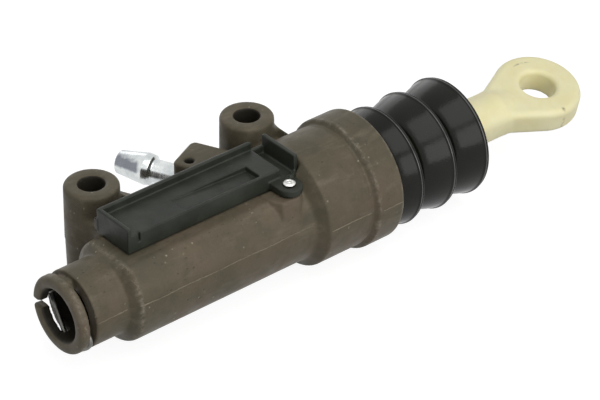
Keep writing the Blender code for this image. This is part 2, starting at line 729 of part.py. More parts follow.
def make_nipple():
    """Turned inlet nipple with one barb, its seal ring and its locking pin."""
    root = NIPPLE_ROOT_RADIUS
    pin_front = -ROLL_PIN_DISTANCE + ROLL_PIN_RADIUS + SEAT_GAP
    pin_back = -ROLL_PIN_DISTANCE - ROLL_PIN_RADIUS - SEAT_GAP
    tip = NIPPLE_NECK_LENGTH + NIPPLE_BARB_LENGTH
    outline = rounded([
        (-NIPPLE_ROOT_LENGTH, NIPPLE_BORE_RADIUS, 0),
        (-NIPPLE_ROOT_LENGTH, root, EDGE_ROUND / 3),
        (pin_back, root, 0),
        (pin_back, NIPPLE_GROOVE_RADIUS, 0),
        (pin_front, NIPPLE_GROOVE_RADIUS, 0),
        (pin_front, root, 0),
        (SEAT_GAP, root, 0),
        (SEAT_GAP, NIPPLE_NECK_RADIUS + EDGE_ROUND, EDGE_ROUND / 2),
        (EDGE_ROUND, NIPPLE_NECK_RADIUS, EDGE_ROUND / 2),
        (NIPPLE_NECK_LENGTH - EDGE_ROUND, NIPPLE_NECK_RADIUS, EDGE_ROUND / 2),
        (NIPPLE_NECK_LENGTH, NIPPLE_BARB_RADIUS, EDGE_ROUND / 3),
        (NIPPLE_NECK_LENGTH + EDGE_ROUND, NIPPLE_BARB_RADIUS, 0),
        (tip, NIPPLE_TIP_RADIUS, EDGE_ROUND / 2),
        (tip, NIPPLE_BORE_RADIUS + EDGE_ROUND / 3, 0),
        (tip - EDGE_ROUND / 3, NIPPLE_BORE_RADIUS, 0),
    ], 1)
    turn = frame_along(NIPPLE_AXIS)
    place("inlet_nipple", turned(outline, SMALL_SEGMENTS), zinc_plate(), NIPPLE_FACE, turn)
    seal = ring_section(root + SEAT_GAP, INLET_SEAL_SECTION - SEAT_GAP / 2,
                        -2 * INLET_SEAL_SECTION - SEAT_GAP)
    place("inlet_seal_ring", turned(seal, SMALL_SEGMENTS), seal_rubber(), NIPPLE_FACE, turn)
    pin = tube_outline(-ROLL_PIN_LENGTH - ROLL_PIN_RECESS, -ROLL_PIN_RECESS, ROLL_PIN_BORE, ROLL_PIN_RADIUS)
    roll_pin = place("nipple_roll_pin", turned(pin, SMALL_SEGMENTS // 2), bright_steel(), roll_pin_place(), UPRIGHT)
    slit = block((-ROLL_PIN_LENGTH - OVERSHOOT, 0, -ROLL_PIN_BORE / 2), (0, ROLL_PIN_RADIUS * 2, ROLL_PIN_BORE / 2))
    combine(roll_pin, "DIFFERENCE", "cut_roll_pin_slit", slit, roll_pin_place(), UPRIGHT)


def make_bracket():
    """The long plastic sensor bracket: cored tray, low rear floor, rear wall, rivet lug and hook."""
    lip_top = TRAY_FLOOR + TRAY_LIP
    tray = block((-TRAY_FRONT, -TRAY_NEAR, TRAY_BOTTOM), (TRAY_REAR, TRAY_FAR, lip_top))
    bracket = place("sensor_bracket", tray, black_plastic())
    well_low = (-TRAY_FRONT + TRAY_LIP_WIDTH, -TRAY_NEAR - OVERSHOOT, TRAY_FLOOR)
    well_high = (TRAY_REAR + OVERSHOOT, TRAY_FAR - TRAY_LIP_WIDTH, lip_top + OVERSHOOT)
    combine(bracket, "DIFFERENCE", "cut_tray_well", block(well_low, well_high))
    wall_x = TRAY_REAR + REAR_LENGTH
    rear = block((TRAY_REAR - TRAY_WALL, -TRAY_NEAR, TRAY_BOTTOM), (wall_x, TRAY_FAR, REAR_FLOOR))
    combine(bracket, "UNION", "add_rear_floor", rear)
    back = block((wall_x - REAR_WALL, -TRAY_NEAR - EDGE_ROUND / 2, TRAY_BOTTOM + EDGE_ROUND / 2),
                 (wall_x + EDGE_ROUND / 5, TRAY_FAR - EDGE_ROUND / 5, REAR_WALL_TOP))
    combine(bracket, "UNION", "add_rear_wall", back)
    lug_bottom = REAR_FLOOR - LUG_THICKNESS
    near_lug = arc((RIVET_X, -RIVET_Y), LUG_RADIUS, 180, 360, 8)
    near_lug += [Vector((RIVET_X + LUG_RADIUS, 0)), Vector((RIVET_X - LUG_RADIUS, 0))]
    combine(bracket, "UNION", "add_near_lug", extruded(near_lug, lug_bottom, REAR_FLOOR - EDGE_ROUND / 10))
    hook = block((-TRAY_FRONT - EDGE_ROUND / 10, TRAY_FAR - EDGE_ROUND / 2, HOOK_LOW),
                 (-TRAY_FRONT + HOOK_LENGTH, TRAY_FAR + HOOK_WIDTH, HOOK_TOP))
    combine(bracket, "UNION", "add_hook", hook)
    rib_pitch = (TRAY_LENGTH - TRAY_WALL) / (TRAY_RIBS + 1)
    core_top = TRAY_FLOOR - POCKET_DEPTH - TRAY_WALL
    for index in range(TRAY_RIBS + 1):
        start = -TRAY_FRONT + TRAY_WALL + index * rib_pitch
        core = block((start, -TRAY_NEAR + TRAY_WALL, TRAY_BOTTOM - OVERSHOOT),
                     (start + rib_pitch - TRAY_WALL, TRAY_FAR - TRAY_WALL, core_top))
        combine(bracket, "DIFFERENCE", f"cut_core_{index}", core)
    slope = math.atan2(POCKET_DEPTH, POCKET_REAR - POCKET_FRONT)
    length = math.hypot(POCKET_DEPTH, POCKET_REAR - POCKET_FRONT)
    pocket = block((0, -TRAY_NEAR + EDGE_ROUND, 0), (length, POCKET_FAR, OVERSHOOT))
    combine(bracket, "DIFFERENCE", "cut_pocket", pocket, (POCKET_FRONT, 0, TRAY_FLOOR),
            Matrix.Rotation(slope, 3, "Y"))
    combine(bracket, "DIFFERENCE", "cut_bracket_rivet", rivet_hole(), RIVET_SPOT, UPRIGHT)


def make_rivet():
    """The rivet at the bracket's rear lug, with a domed head."""
    dome = (RIVET_HEAD_RADIUS ** 2 + RIVET_HEAD_HEIGHT ** 2) / (2 * RIVET_HEAD_HEIGHT)
    span = math.degrees(math.asin(RIVET_HEAD_RADIUS / dome))
    head = arc((SEAT_GAP + RIVET_HEAD_HEIGHT - dome, 0), dome, span, 0, 3)
    outline = [(-RIVET_DEPTH, 0), (-RIVET_DEPTH, RIVET_RADIUS), (SEAT_GAP, RIVET_RADIUS)] + head
    outline[-1] = (outline[-1][0], 0)
    place("bracket_rivet", turned(outline, SMALL_SEGMENTS // 2), bright_steel(), RIVET_SPOT, UPRIGHT)


def cup_outline(length):
    """Outline of a lip seal that fills the seal bore and opens to the front."""
    inner = PISTON_RADIUS + SEAT_GAP
    outer = SEAL_BORE_RADIUS - SEAT_GAP
    return rounded([
        (0, inner, 0), (0, inner + CUP_LIP, 0), (CUP_HOLLOW, inner + CUP_LIP, 0),
        (CUP_HOLLOW, outer - CUP_LIP, 0), (0, outer - CUP_LIP, 0), (0, outer, 0),
        (length, outer, EDGE_ROUND / 3), (length, inner, EDGE_ROUND / 3),
    ], 1)


def make_seal_stack():
    """Support ring, two cups, spacer, guide and circlip in the seal bore."""
    inner = PISTON_RADIUS + SEAT_GAP
    outer = SEAL_BORE_RADIUS - SEAT_GAP
    segments = BORE_SEGMENTS
    place("cup_support_ring", turned(tube_outline(0, SUPPORT_THICKNESS, inner, outer), segments), grey_plastic(),
          (SUPPORT_X, 0, 0))
    place("primary_cup", turned(cup_outline(CUP_LENGTH), segments), seal_rubber(), (PRIMARY_X, 0, 0))
    spacer = tube_outline(0, SPACER_LENGTH, inner, outer)
    waist = (inner + outer) / 2
    spacer = [spacer[0], spacer[1], Vector((SPACER_LENGTH / 4, outer)), Vector((SPACER_LENGTH / 4, waist)),
              Vector((SPACER_LENGTH * 3 / 4, waist)), Vector((SPACER_LENGTH * 3 / 4, outer)), spacer[-2], spacer[-1]]
    ring = place("inlet_spacer_ring", turned(spacer, segments), grey_plastic(), (SPACER_X, 0, 0))
    cross = rod_outline(-SEAL_BORE_RADIUS * 2, SEAL_BORE_RADIUS * 2, SPACER_LENGTH / 6)
    for label, way in (("y", (0, 1, 0)), ("z", (0, 0, 1))):
        combine(ring, "DIFFERENCE", f"cut_spacer_{label}", turned(cross, 8),
                (SPACER_X + SPACER_LENGTH / 2, 0, 0), frame_along(way, (1, 0, 0)))
    place("secondary_cup", turned(cup_outline(CUP_LENGTH), segments), seal_rubber(), (SECONDARY_X, 0, 0))
    place("guide_sleeve", turned(tube_outline(0, GUIDE_LENGTH, inner, outer, EDGE_ROUND / 2), segments),
          grey_plastic(), (GUIDE_X, 0, 0))
    make_circlip()


def make_circlip():
    """Open snap ring behind the guide, with two eyes for pliers."""
    outer = SEAL_BORE_RADIUS + CIRCLIP_DEPTH
    inner = outer - CIRCLIP_WIDTH
    half = CIRCLIP_OPENING / 2
    outline = arc((0, 0), outer, 90 + half, 450 - half, 24) + arc((0, 0), inner, 450 - half, 90 + half, 24)
    ring = extruded(outline, 0, CIRCLIP_THICKNESS)
    clip = place("circlip", ring, bright_steel(), (CIRCLIP_X, 0, 0), frame_along((0, 0, -1), (1, 0, 0)))
    middle = (inner + outer) / 2
    for label, side in (("left", -1), ("right", 1)):
        angle = math.radians(90 + side * (half + 8))
        spot = (CIRCLIP_X, middle * math.cos(angle), middle * math.sin(angle))
        eye = turned(rod_outline(-OVERSHOOT, OVERSHOOT, CIRCLIP_WIDTH / 5), 10)
        combine(clip, "DIFFERENCE", f"cut_circlip_{label}", eye, spot)


def make_piston():
    """Hollow plunger with a flanged nose, feed holes, a ball socket and an open tail."""
    flange_start = -NOSE_FLANGE_LENGTH
    nose_start = -PISTON_NOSE
    socket = BALL_RADIUS + SEAT_GAP
    socket_back = math.degrees(math.asin(min(1.0, TAIL_BORE_RADIUS / socket))) if socket > TAIL_BORE_RADIUS else 90.0
    cup = arc((BALL_PLACE, 0), socket, 180, 180 - socket_back, 6)
    groove_start = BALL_PLACE + RETAINER_DISTANCE
    outline = [
        (nose_start, NOSE_BORE_RADIUS),
        (nose_start, NOSE_RADIUS),
        (flange_start, NOSE_RADIUS),
        (flange_start, NOSE_FLANGE_RADIUS),
        (0, NOSE_FLANGE_RADIUS),
        (0, PISTON_RADIUS),
        (PISTON_TAIL - EDGE_ROUND / 2, PISTON_RADIUS),
        (PISTON_TAIL, PISTON_RADIUS - EDGE_ROUND / 2),
        (PISTON_TAIL, TAIL_BORE_RADIUS),
        (groove_start, TAIL_BORE_RADIUS),
        (groove_start, socket),
    ]
    outline += [tuple(point) for point in reversed(cup)]
    outline[-1] = (BALL_PLACE - socket, 0)
    depth = min(NOSE_BORE_DEPTH, BALL_PLACE + PISTON_NOSE - socket - EDGE_ROUND)
    outline += [(nose_start + depth, 0), (nose_start + depth, NOSE_BORE_RADIUS)]
    piston = place("piston", turned(outline, BORE_SEGMENTS), grey_plastic(), (PISTON_REST, 0, 0))
    feed_x = PISTON_REST + (SPACER_X - SEAL_BORE_FRONT) + BLEED_HOLE_RADIUS * 2
    for index in range(BLEED_HOLES):
        angle = math.tau * index / BLEED_HOLES + math.tau / 8
        way = Vector((0, math.cos(angle), math.sin(angle)))
        hole = turned(rod_outline(NOSE_BORE_RADIUS / 2, PISTON_RADIUS + OVERSHOOT, BLEED_HOLE_RADIUS), 6)
        combine(piston, "DIFFERENCE", f"cut_feed_{index}", hole, (feed_x, 0, 0), frame_along(way, (1, 0, 0)))


def make_piston_trim():
    """Magnet on the nose, spring, spring seat and the ring that traps the ball."""
    magnet = tube_outline(0, MAGNET_LENGTH, NOSE_RADIUS + SEAT_GAP, MAGNET_RADIUS)
    magnet_x = PISTON_REST - NOSE_FLANGE_LENGTH - SEAT_GAP - MAGNET_LENGTH
    place("magnet_ring", turned(magnet, BORE_SEGMENTS), magnet_black(), (magnet_x, 0, 0))
    retainer = rounded([
        (0, RETAINER_RADIUS, 0), (0, TAIL_BORE_RADIUS - SEAT_GAP, 0),
        (RETAINER_LENGTH, TAIL_BORE_RADIUS - SEAT_GAP, 0), (RETAINER_LENGTH, RETAINER_RADIUS + EDGE_ROUND / 4, 0),
    ])
    retainer_x = PISTON_REST + BALL_PLACE + RETAINER_DISTANCE + SEAT_GAP
    place("pushrod_retainer", turned(retainer, SMALL_SEGMENTS), grey_plastic(), (retainer_x, 0, 0))
    collar_radius = SPRING_RADIUS - SPRING_WIRE_RADIUS - SEAT_GAP
    seat = [(0, SPRING_SEAT_HOLE), (0, SPRING_SEAT_RADIUS), (SPRING_SEAT_THICKNESS, SPRING_SEAT_RADIUS),
            (SPRING_SEAT_THICKNESS, collar_radius), (SPRING_SEAT_COLLAR, collar_radius),
            (SPRING_SEAT_COLLAR, SPRING_SEAT_HOLE)]
    seat_x = CHAMBER_FRONT + SEAT_GAP
    place("spring_seat", turned(seat, SMALL_SEGMENTS), grey_plastic(), (seat_x, 0, 0))
    depth = min(NOSE_BORE_DEPTH, BALL_PLACE + PISTON_NOSE - BALL_RADIUS - SEAT_GAP - EDGE_ROUND)
    spring_start = seat_x + SPRING_SEAT_THICKNESS + SEAT_GAP + SPRING_WIRE_RADIUS
    spring_end = PISTON_REST - PISTON_NOSE + depth - SEAT_GAP - SPRING_WIRE_RADIUS
    make_spring(spring_start, spring_end)


def make_spring(start, end):
    """Compression spring with one closed coil at each end."""
    curve = bpy.data.curves.new("return_spring", "CURVE")
    curve.dimensions = "3D"
    curve.bevel_depth = SPRING_WIRE_RADIUS
    curve.bevel_resolution = 0
    curve.use_fill_caps = True
    count = SPRING_TURNS * SPRING_STEPS
    dead = 2 * SPRING_WIRE_RADIUS + SEAT_GAP
    line = curve.splines.new("POLY")
    line.points.add(count)
    for index, knot in enumerate(line.points):
        turn = index / SPRING_STEPS
        inner_turns = min(max(turn - 1, 0), SPRING_TURNS - 2)
        rise = dead * (min(turn, 1) + max(turn - SPRING_TURNS + 1, 0))
        rise += (end - start - 2 * dead) * inner_turns / (SPRING_TURNS - 2)
        angle = math.tau * turn
        knot.co = (rise, SPRING_RADIUS * math.cos(angle), SPRING_RADIUS * math.sin(angle), 1)
    curve.materials.append(bright_steel())
    spring = bpy.data.objects.new("return_spring", curve)
    bpy.context.scene.collection.objects.link(spring)
    spring.parent = bpy.data.objects["bore_axis"]
    spring.location = (start, 0, 0)


def make_pushrod():
    """Cream push rod: ball, shank, grooved neck, and a flat eye that the neck runs into."""
    ball_end = math.degrees(math.asin(SHANK_RADIUS / BALL_RADIUS))
    ball = arc((0, 0), BALL_RADIUS, 180, ball_end, 8)
    groove_start = NECK_X + NECK_LENGTH / 4 - BALL_X
    groove_end = groove_start + NECK_GROOVE_LENGTH
    outline = [(point.x, point.y) for point in ball]
    outline[0] = (-BALL_RADIUS, 0)
    outline += [
        (SHANK_LENGTH, SHANK_RADIUS),
        (SHANK_LENGTH + SHANK_CONE, ROD_RADIUS),
        (groove_start, ROD_RADIUS),
        (groove_start, ROD_RADIUS - NECK_GROOVE),
        (groove_end, ROD_RADIUS - NECK_GROOVE),
        (groove_end, ROD_RADIUS),
        (ROD_TAPER_START, ROD_RADIUS),
        (ROD_TAPER_START + ROD_TAPER, EYE_THICKNESS / 2 - EYE_EDGE / 4),
        (ROD_TAPER_START + ROD_TAPER + EYE_EDGE, 0),
    ]
    rod = place("pushrod", turned(outline, BORE_SEGMENTS), cream_plastic(), (BALL_X, 0, 0), EYE_ROLL)
    combine(rod, "UNION", "add_eye", eye_shape(), (BALL_X, 0, 0), EYE_ROLL)
    hole = rounded([
        (-EYE_THICKNESS, 0, 0),
        (-EYE_THICKNESS, EYE_HOLE_RADIUS + EYE_THICKNESS / 2 + EYE_EDGE, 0),
        (-EYE_THICKNESS / 2 + EYE_EDGE, EYE_HOLE_RADIUS, EYE_EDGE),
        (EYE_THICKNESS / 2 - EYE_EDGE, EYE_HOLE_RADIUS, EYE_EDGE),
        (EYE_THICKNESS, EYE_HOLE_RADIUS + EYE_THICKNESS / 2 + EYE_EDGE, 0),
        (EYE_THICKNESS, 0, 0),
    ], 1)
    combine(rod, "DIFFERENCE", "cut_eye_hole", turned(hole, BORE_SEGMENTS), (BALL_X + EYE_PLACE, 0, 0),
            EYE_ROLL @ UPRIGHT)


def eye_shape():
    """Plate of the eye: a round end whose tangents run into the width of the rod."""
    half = EYE_WAIST
    lean = math.radians(EYE_FLARE)
    touch = Vector((EYE_PLACE - EYE_RADIUS * math.sin(lean), EYE_RADIUS * math.cos(lean)))
    corner_x = touch.x - (touch.y - half) / math.tan(lean)
    root = min(ROD_TAPER_START - EYE_THICKNESS, corner_x - EYE_EDGE)
    side = rounded([(root, half, 0), (corner_x, half, EYE_FILLET), (touch.x, touch.y, 0)], 3, closed=False)
    outline = side + arc((EYE_PLACE, 0), EYE_RADIUS, 90 + EYE_FLARE, -90 - EYE_FLARE, 15)[1:-1]
    outline += [Vector((point.x, -point.y)) for point in reversed(side)]
    shape = extruded(outline, -EYE_THICKNESS / 2, EYE_THICKNESS / 2)
    rims = [edge for edge in shape.edges if abs(edge.verts[0].co.z - edge.verts[1].co.z) < 1e-9]
    bmesh.ops.bevel(shape, geom=rims, offset=EYE_EDGE, segments=2, profile=0.5, affect="EDGES")
    return shape


def fold_side(rim_x, rim_radius, valley_radius, dome_start, back_end, steps):
    """One fold: a dome that rises to its rim, then a steep fall to the next valley."""
    points = []
    for step in range(steps + 1):
        angle = math.pi / 2 * step / steps
        points.append((rim_x - (rim_x - dome_start) * math.cos(angle),
                       valley_radius + (rim_radius - valley_radius) * math.sin(angle)))
    points.append((back_end, valley_radius))
    return points


def make_bellows():
    """Rubber bellows: cuff in the collar, three folds, and a neck that grips the rod."""
    wall = BELLOWS_WALL
    bead_start = CUFF_FRONT + CUFF_LENGTH / 3
    neck_end = NECK_X + NECK_LENGTH
    groove_start = NECK_X + NECK_LENGTH / 4
    groove_end = groove_start + NECK_GROOVE_LENGTH
    grip = ROD_RADIUS + SEAT_GAP
    outer = [
        (CUFF_FRONT, CUFF_RADIUS),
        (bead_start, CUFF_RADIUS),
        (bead_start, CUFF_RADIUS + CUFF_BEAD),
        (bead_start + CUFF_BEAD_LENGTH, CUFF_RADIUS + CUFF_BEAD),
        (bead_start + CUFF_BEAD_LENGTH, CUFF_RADIUS),
        (COLLAR_END - VALLEY_LENGTH, CUFF_RADIUS),
    ]
    inner = [(CUFF_FRONT, CUFF_RADIUS - 2 * wall), (COLLAR_END - 2 * VALLEY_LENGTH, CUFF_RADIUS - 2 * wall)]
    for index in range(FOLD_COUNT):
        rim_x = COLLAR_END + FIRST_FOLD + index * FOLD_PITCH
        pitch = FIRST_FOLD + FOLD_FALL if index == 0 else FOLD_PITCH
        dome_start = rim_x - pitch + FOLD_FALL + VALLEY_LENGTH
        back_end = rim_x + FOLD_FALL
        outer += fold_side(rim_x, FOLD_RADIUS, VALLEY_RADIUS, dome_start, back_end, FOLD_STEPS)
        inner += fold_side(rim_x - wall, FOLD_RADIUS - wall, VALLEY_RADIUS - wall, dome_start + wall,
                           back_end - wall, FOLD_STEPS - 2)
    outer += [(NECK_X + wall, grip + wall), (neck_end, grip + wall)]
    inner += [(NECK_X - wall / 2, grip), (groove_start + SEAT_GAP, grip), (groove_start + SEAT_GAP, grip - NECK_GROOVE),
              (groove_end - SEAT_GAP, grip - NECK_GROOVE), (groove_end - SEAT_GAP, grip), (neck_end, grip)]
    place("bellows", turned(outer + inner[::-1], BELLOWS_SEGMENTS), rubber())


def main():
    """Build every piece on one empty that puts the front bolt's clamped face at the origin."""
    clear_scene()
    axis = bpy.data.objects.new("bore_axis", None)
    bpy.context.scene.collection.objects.link(axis)
    axis.location = (0, -BOSS_OFFSET, BOSS_BOTTOM)
    make_housing()
    make_wire_clip()
    make_socket_seal()
    make_nipple()
    make_bracket()
    make_rivet()
    make_seal_stack()
    make_piston()
    make_piston_trim()
    make_pushrod()
    make_bellows()


main()
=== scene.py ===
"""Looks of the clutch master cylinder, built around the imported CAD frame.

Lengths in the shape functions are millimetres in the bore's own frame: X runs from the outlet
socket towards the push rod, Z points to the side with the sensor bracket, and the origin is on
the bore's axis beside the front bolt. to_row() turns them into the row's frame in metres.
"""

import json
import math

import bmesh
import bpy
import numpy as np
from mathutils import Matrix, Vector


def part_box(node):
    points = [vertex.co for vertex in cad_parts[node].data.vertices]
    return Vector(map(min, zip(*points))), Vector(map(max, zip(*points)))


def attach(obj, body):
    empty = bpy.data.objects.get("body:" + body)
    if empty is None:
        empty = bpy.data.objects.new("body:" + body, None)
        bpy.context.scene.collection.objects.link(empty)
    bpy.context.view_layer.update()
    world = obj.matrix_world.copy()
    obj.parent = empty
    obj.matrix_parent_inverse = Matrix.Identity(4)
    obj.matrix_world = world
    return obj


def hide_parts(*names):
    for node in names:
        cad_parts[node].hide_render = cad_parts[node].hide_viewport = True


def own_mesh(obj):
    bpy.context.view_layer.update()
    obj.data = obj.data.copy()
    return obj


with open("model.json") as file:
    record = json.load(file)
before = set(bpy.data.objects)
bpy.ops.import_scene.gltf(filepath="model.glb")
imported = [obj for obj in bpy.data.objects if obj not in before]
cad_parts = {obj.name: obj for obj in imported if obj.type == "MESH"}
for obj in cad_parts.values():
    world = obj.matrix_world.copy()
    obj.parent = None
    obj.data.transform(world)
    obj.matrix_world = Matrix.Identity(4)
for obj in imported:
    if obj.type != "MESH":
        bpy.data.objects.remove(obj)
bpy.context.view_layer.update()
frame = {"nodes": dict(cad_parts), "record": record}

MM = 0.001

# Bore axis in the row frame, from the primary cup that sits on it
cup_low, cup_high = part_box("primary_cup")
AXIS_Y = (cup_low.y + cup_high.y) / 2
AXIS_Z = (cup_low.z + cup_high.z) / 2

# Housing, in millimetres
BOSS_SPACING = 60.5
BOSS_Y = -AXIS_Y / MM
BOSS_TOP = 20.7
BOSS_BOTTOM = -AXIS_Z / MM
BOSS_RADIUS = 8.9
BOSS_DRAFT = 0.25
BOSS_EDGE = 1.3
BOSS_WEB_HALF = 6.25
BOSS_WEB_LOW = -12.5
BOSS_WEB_HIGH = 11.8
BOLT_RADIUS = 4.2
BOLT_CHAMFER = 0.5
PARTING = 1.4
BARREL_FLASH = 3.4
SPIGOT_FLASH = 1.6
COLLAR_FLASH = 1.7
SPIGOT_FRONT = -32.5
SPIGOT_RADIUS = 12.6
SPIGOT_END = -15.0
SPIGOT_EDGE = 2.0
SHOULDER = 2.4
BARREL_RADIUS = 16.25
COLLAR_FRONT = 53.3
COLLAR_EDGE = 56.7
COLLAR_RADIUS = 20.3
COLLAR_LIFT = 1.2
RING_FRONT = 74.2
RING_RADIUS = 21.8
COLLAR_END = 85.7
FLAT_HEIGHT = 13.55
FLAT_RAMP_END = -10.5
FLAT_RAMP_DROP = 0.9
POST_FOOT = 3.5

# Outlet socket and its wire clip
SOCKET_RADIUS = 8.6
SOCKET_END = -14.0
CLIP_X = -27.9
CLIP_TURN = math.radians(62.0)
CLIP_GROOVE_HALF = 1.2
CLIP_GROOVE_RADIUS = 11.0
CLIP_SLOT_HALF = 1.1
CLIP_SLOT_START = 5.8
CLIP_SLOT_REACH = 10.4
CLIP_WIRE = 0.8
CLIP_LEG = 6.9
CLIP_LEG_END = 6.0
NOTCH_Z = -0.7
NOTCH_HALF = 1.35
SEAL_X = -15.6
SEAL_RADIUS = 7.0
SEAL_SECTION = 1.28

# Bore behind the socket
PASSAGE_RADIUS = 2.5
CHAMBER_START = -8.0
CHAMBER_RADIUS = 9.3
SEAL_BORE_START = 38.0
SEAL_BORE_RADIUS = 11.3
SNAP_GROOVE_START = 67.8
SNAP_GROOVE_END = 69.6
SNAP_GROOVE_RADIUS = 12.6
SEAL_BORE_END = 71.2
CUFF_STEP_RADIUS = 16.5
CUFF_START = 76.9
CUFF_RADIUS = 18.3
CUFF_GROOVE_START = 79.7
CUFF_GROOVE_END = 81.9
CUFF_GROOVE_RADIUS = 19.1

# Sensor bracket
TRAY_FRONT = -8.7
TRAY_REAR = 49.6
TRAY_NEAR = -4.6
TRAY_FAR = 11.0
TRAY_BOTTOM = 13.85
TRAY_FLOOR = 20.0
TRAY_RIM = 22.5
TRAY_WALL = 1.4
TRAY_CORE_TOP = 17.5
CORES = 3
RIB = 1.5
REAR_FLOOR = 17.0
REAR_WALL = 55.8
REAR_WALL_TOP = 23.0
REAR_WALL_HALF = 1.3
FAR_RAIL_TOP = 19.3
POCKET_START = 13.4
POCKET_END = 42.3
POCKET_NEAR = -3.6
POCKET_FAR = 3.5
POCKET_DEPTHS = (0.5, 1.8)
LUG_RADIUS = 4.2
LUG_THICKNESS = 2.4
RIVET = Vector((49.1, -9.3, REAR_FLOOR))
RIVET_HOLE = 1.65
RIVET_HOLE_END = 10.7

# Inlet nipple
NIPPLE_FACE = Vector((37.05, 28.45, 5.3))
NIPPLE_TURN = math.radians(115.5)
NIPPLE_AXIS = Vector((math.cos(NIPPLE_TURN), math.sin(NIPPLE_TURN), 0))
WEB_HALF = 7.2
WEB_BOTTOM = -3.4
WEB_TOP = 15.0
PIN_HOLE = 1.3
PIN_DEPTH = 4.2
PIN_ASIDE = 3.3

# Push rod and bellows
BALL_X = 60.0
BALL_RADIUS = 5.4
SHANK_RADIUS = 4.2
ROD_RADIUS = 7.5
ROD_GROOVE_RADIUS = 6.9
ROD_END = 144.0
ROD_TIP = 151.0
EYE_X = BALL_X + 103.0
EYE_RADIUS = 14.7
EYE_HOLE = 6.0
EYE_HOLE_EDGE = 1.8
EYE_EDGE = 2.3
EYE_HALF = 4.55
EYE_WAIST = 7.1
EYE_NECK_START = 130.0
EYE_FLARE_START = 141.0
EYE_LEAN = math.radians(26.0)
EYE_ROLL = math.radians(13.0)
FOLD_PITCH = 13.84
FIRST_RIM = COLLAR_END + 10.3
FOLD_RADIUS = 19.9
FOLDS = 3
FOLD_START = COLLAR_END + 0.8
NECK_X = FIRST_RIM + (FOLDS - 1) * FOLD_PITCH + 1.1
NECK_END = NECK_X + 5.2
NECK_GROOVE_START = NECK_X + 1.3
NECK_GROOVE_END = NECK_X + 3.9
VALLEY_RADIUS = 13.5

# Camera of the photograph, in the bore's frame
VIEW_TURN = math.radians(-40.02)
VIEW_RISE = math.radians(33.88)
VIEW_ROLL = math.radians(0.16)
VIEW_DISTANCE = 857.28
VIEW_SHIFT = Vector((46.95, 22.84))
LENS = 170.96


def to_row(points):
    """Points of the bore's frame in millimetres, as row-frame metres."""
    moved = np.array(points, float) * MM
    moved[:, 1] += AXIS_Y
    moved[:, 2] += AXIS_Z
    return moved


# Distance functions: negative inside, in millimetres

def smooth_min(a, b, blend):
    """Union of two distances with a fillet about as wide as blend."""
    near = np.maximum(blend - np.abs(a - b), 0) / blend
    return np.minimum(a, b) - near * near * blend / 4


def smooth_max(a, b, blend):
    """Intersection of two distances with a rounded edge."""
    return -smooth_min(-a, -b, blend)


def rounded(corners, steps=5):
    """Points of a closed outline of (a, b, radius) corners, each corner an arc."""
    points = []
    for index, (a, b, radius) in enumerate(corners):
        corner = Vector((a, b))
        if radius <= 0:
            points.append(corner)
            continue
        before = Vector(corners[index - 1][:2]) - corner
        after = Vector(corners[(index + 1) % len(corners)][:2]) - corner
        half = before.angle(after) / 2
        reach = min(radius / math.tan(half), 0.48 * before.length, 0.48 * after.length)
        start = corner + before.normalized() * reach
        end = corner + after.normalized() * reach
        middle = corner + (before.normalized() + after.normalized()).normalized() * reach / math.cos(half)
        sweep = (start - middle).angle_signed(end - middle)
        for step in range(steps + 1):
            points.append(middle + Matrix.Rotation(-sweep * step / steps, 2) @ (start - middle))
    return points


def outline_distance(a, b, outline):
    """Distance in a plane to a closed outline."""
    nearest = np.full(np.shape(a), 1e9)
    inside = np.zeros(np.shape(a), bool)
    for start, end in zip(outline, outline[1:] + outline[:1]):
        along = (end[0] - start[0], end[1] - start[1])
        from_a = a - start[0]
        from_b = b - start[1]
        length = along[0] ** 2 + along[1] ** 2
        share = np.clip((from_a * along[0] + from_b * along[1]) / length, 0, 1)
        nearest = np.minimum(nearest, (from_a - share * along[0]) ** 2 + (from_b - share * along[1]) ** 2)
        if along[1]:
            spans = (start[1] <= b) != (end[1] <= b)
            inside ^= spans & (from_a < from_b * along[0] / along[1])
    return np.where(inside, -1, 1) * np.sqrt(nearest)


def slab(distance, along, low, high, edge):
    """A flat shape's distance, given a thickness along another axis and rounded edges."""
    across = distance + edge
    deep = np.abs(along - (low + high) / 2) - (high - low) / 2 + edge
    outside = np.hypot(np.maximum(across, 0), np.maximum(deep, 0))
    return np.minimum(np.maximum(across, deep), 0) + outside - edge


def box(x, y, z, low, high, edge):
    """A box between two corners with rounded edges."""
    parts = []
    for value, bottom, top in zip((x, y, z), low, high):
        parts.append(np.abs(value - (bottom + top) / 2) - (top - bottom) / 2 + edge)
    outside = np.sqrt(sum(np.maximum(part, 0) ** 2 for part in parts))
    return outside + np.minimum(np.maximum(np.maximum(parts[0], parts[1]), parts[2]), 0) - edge


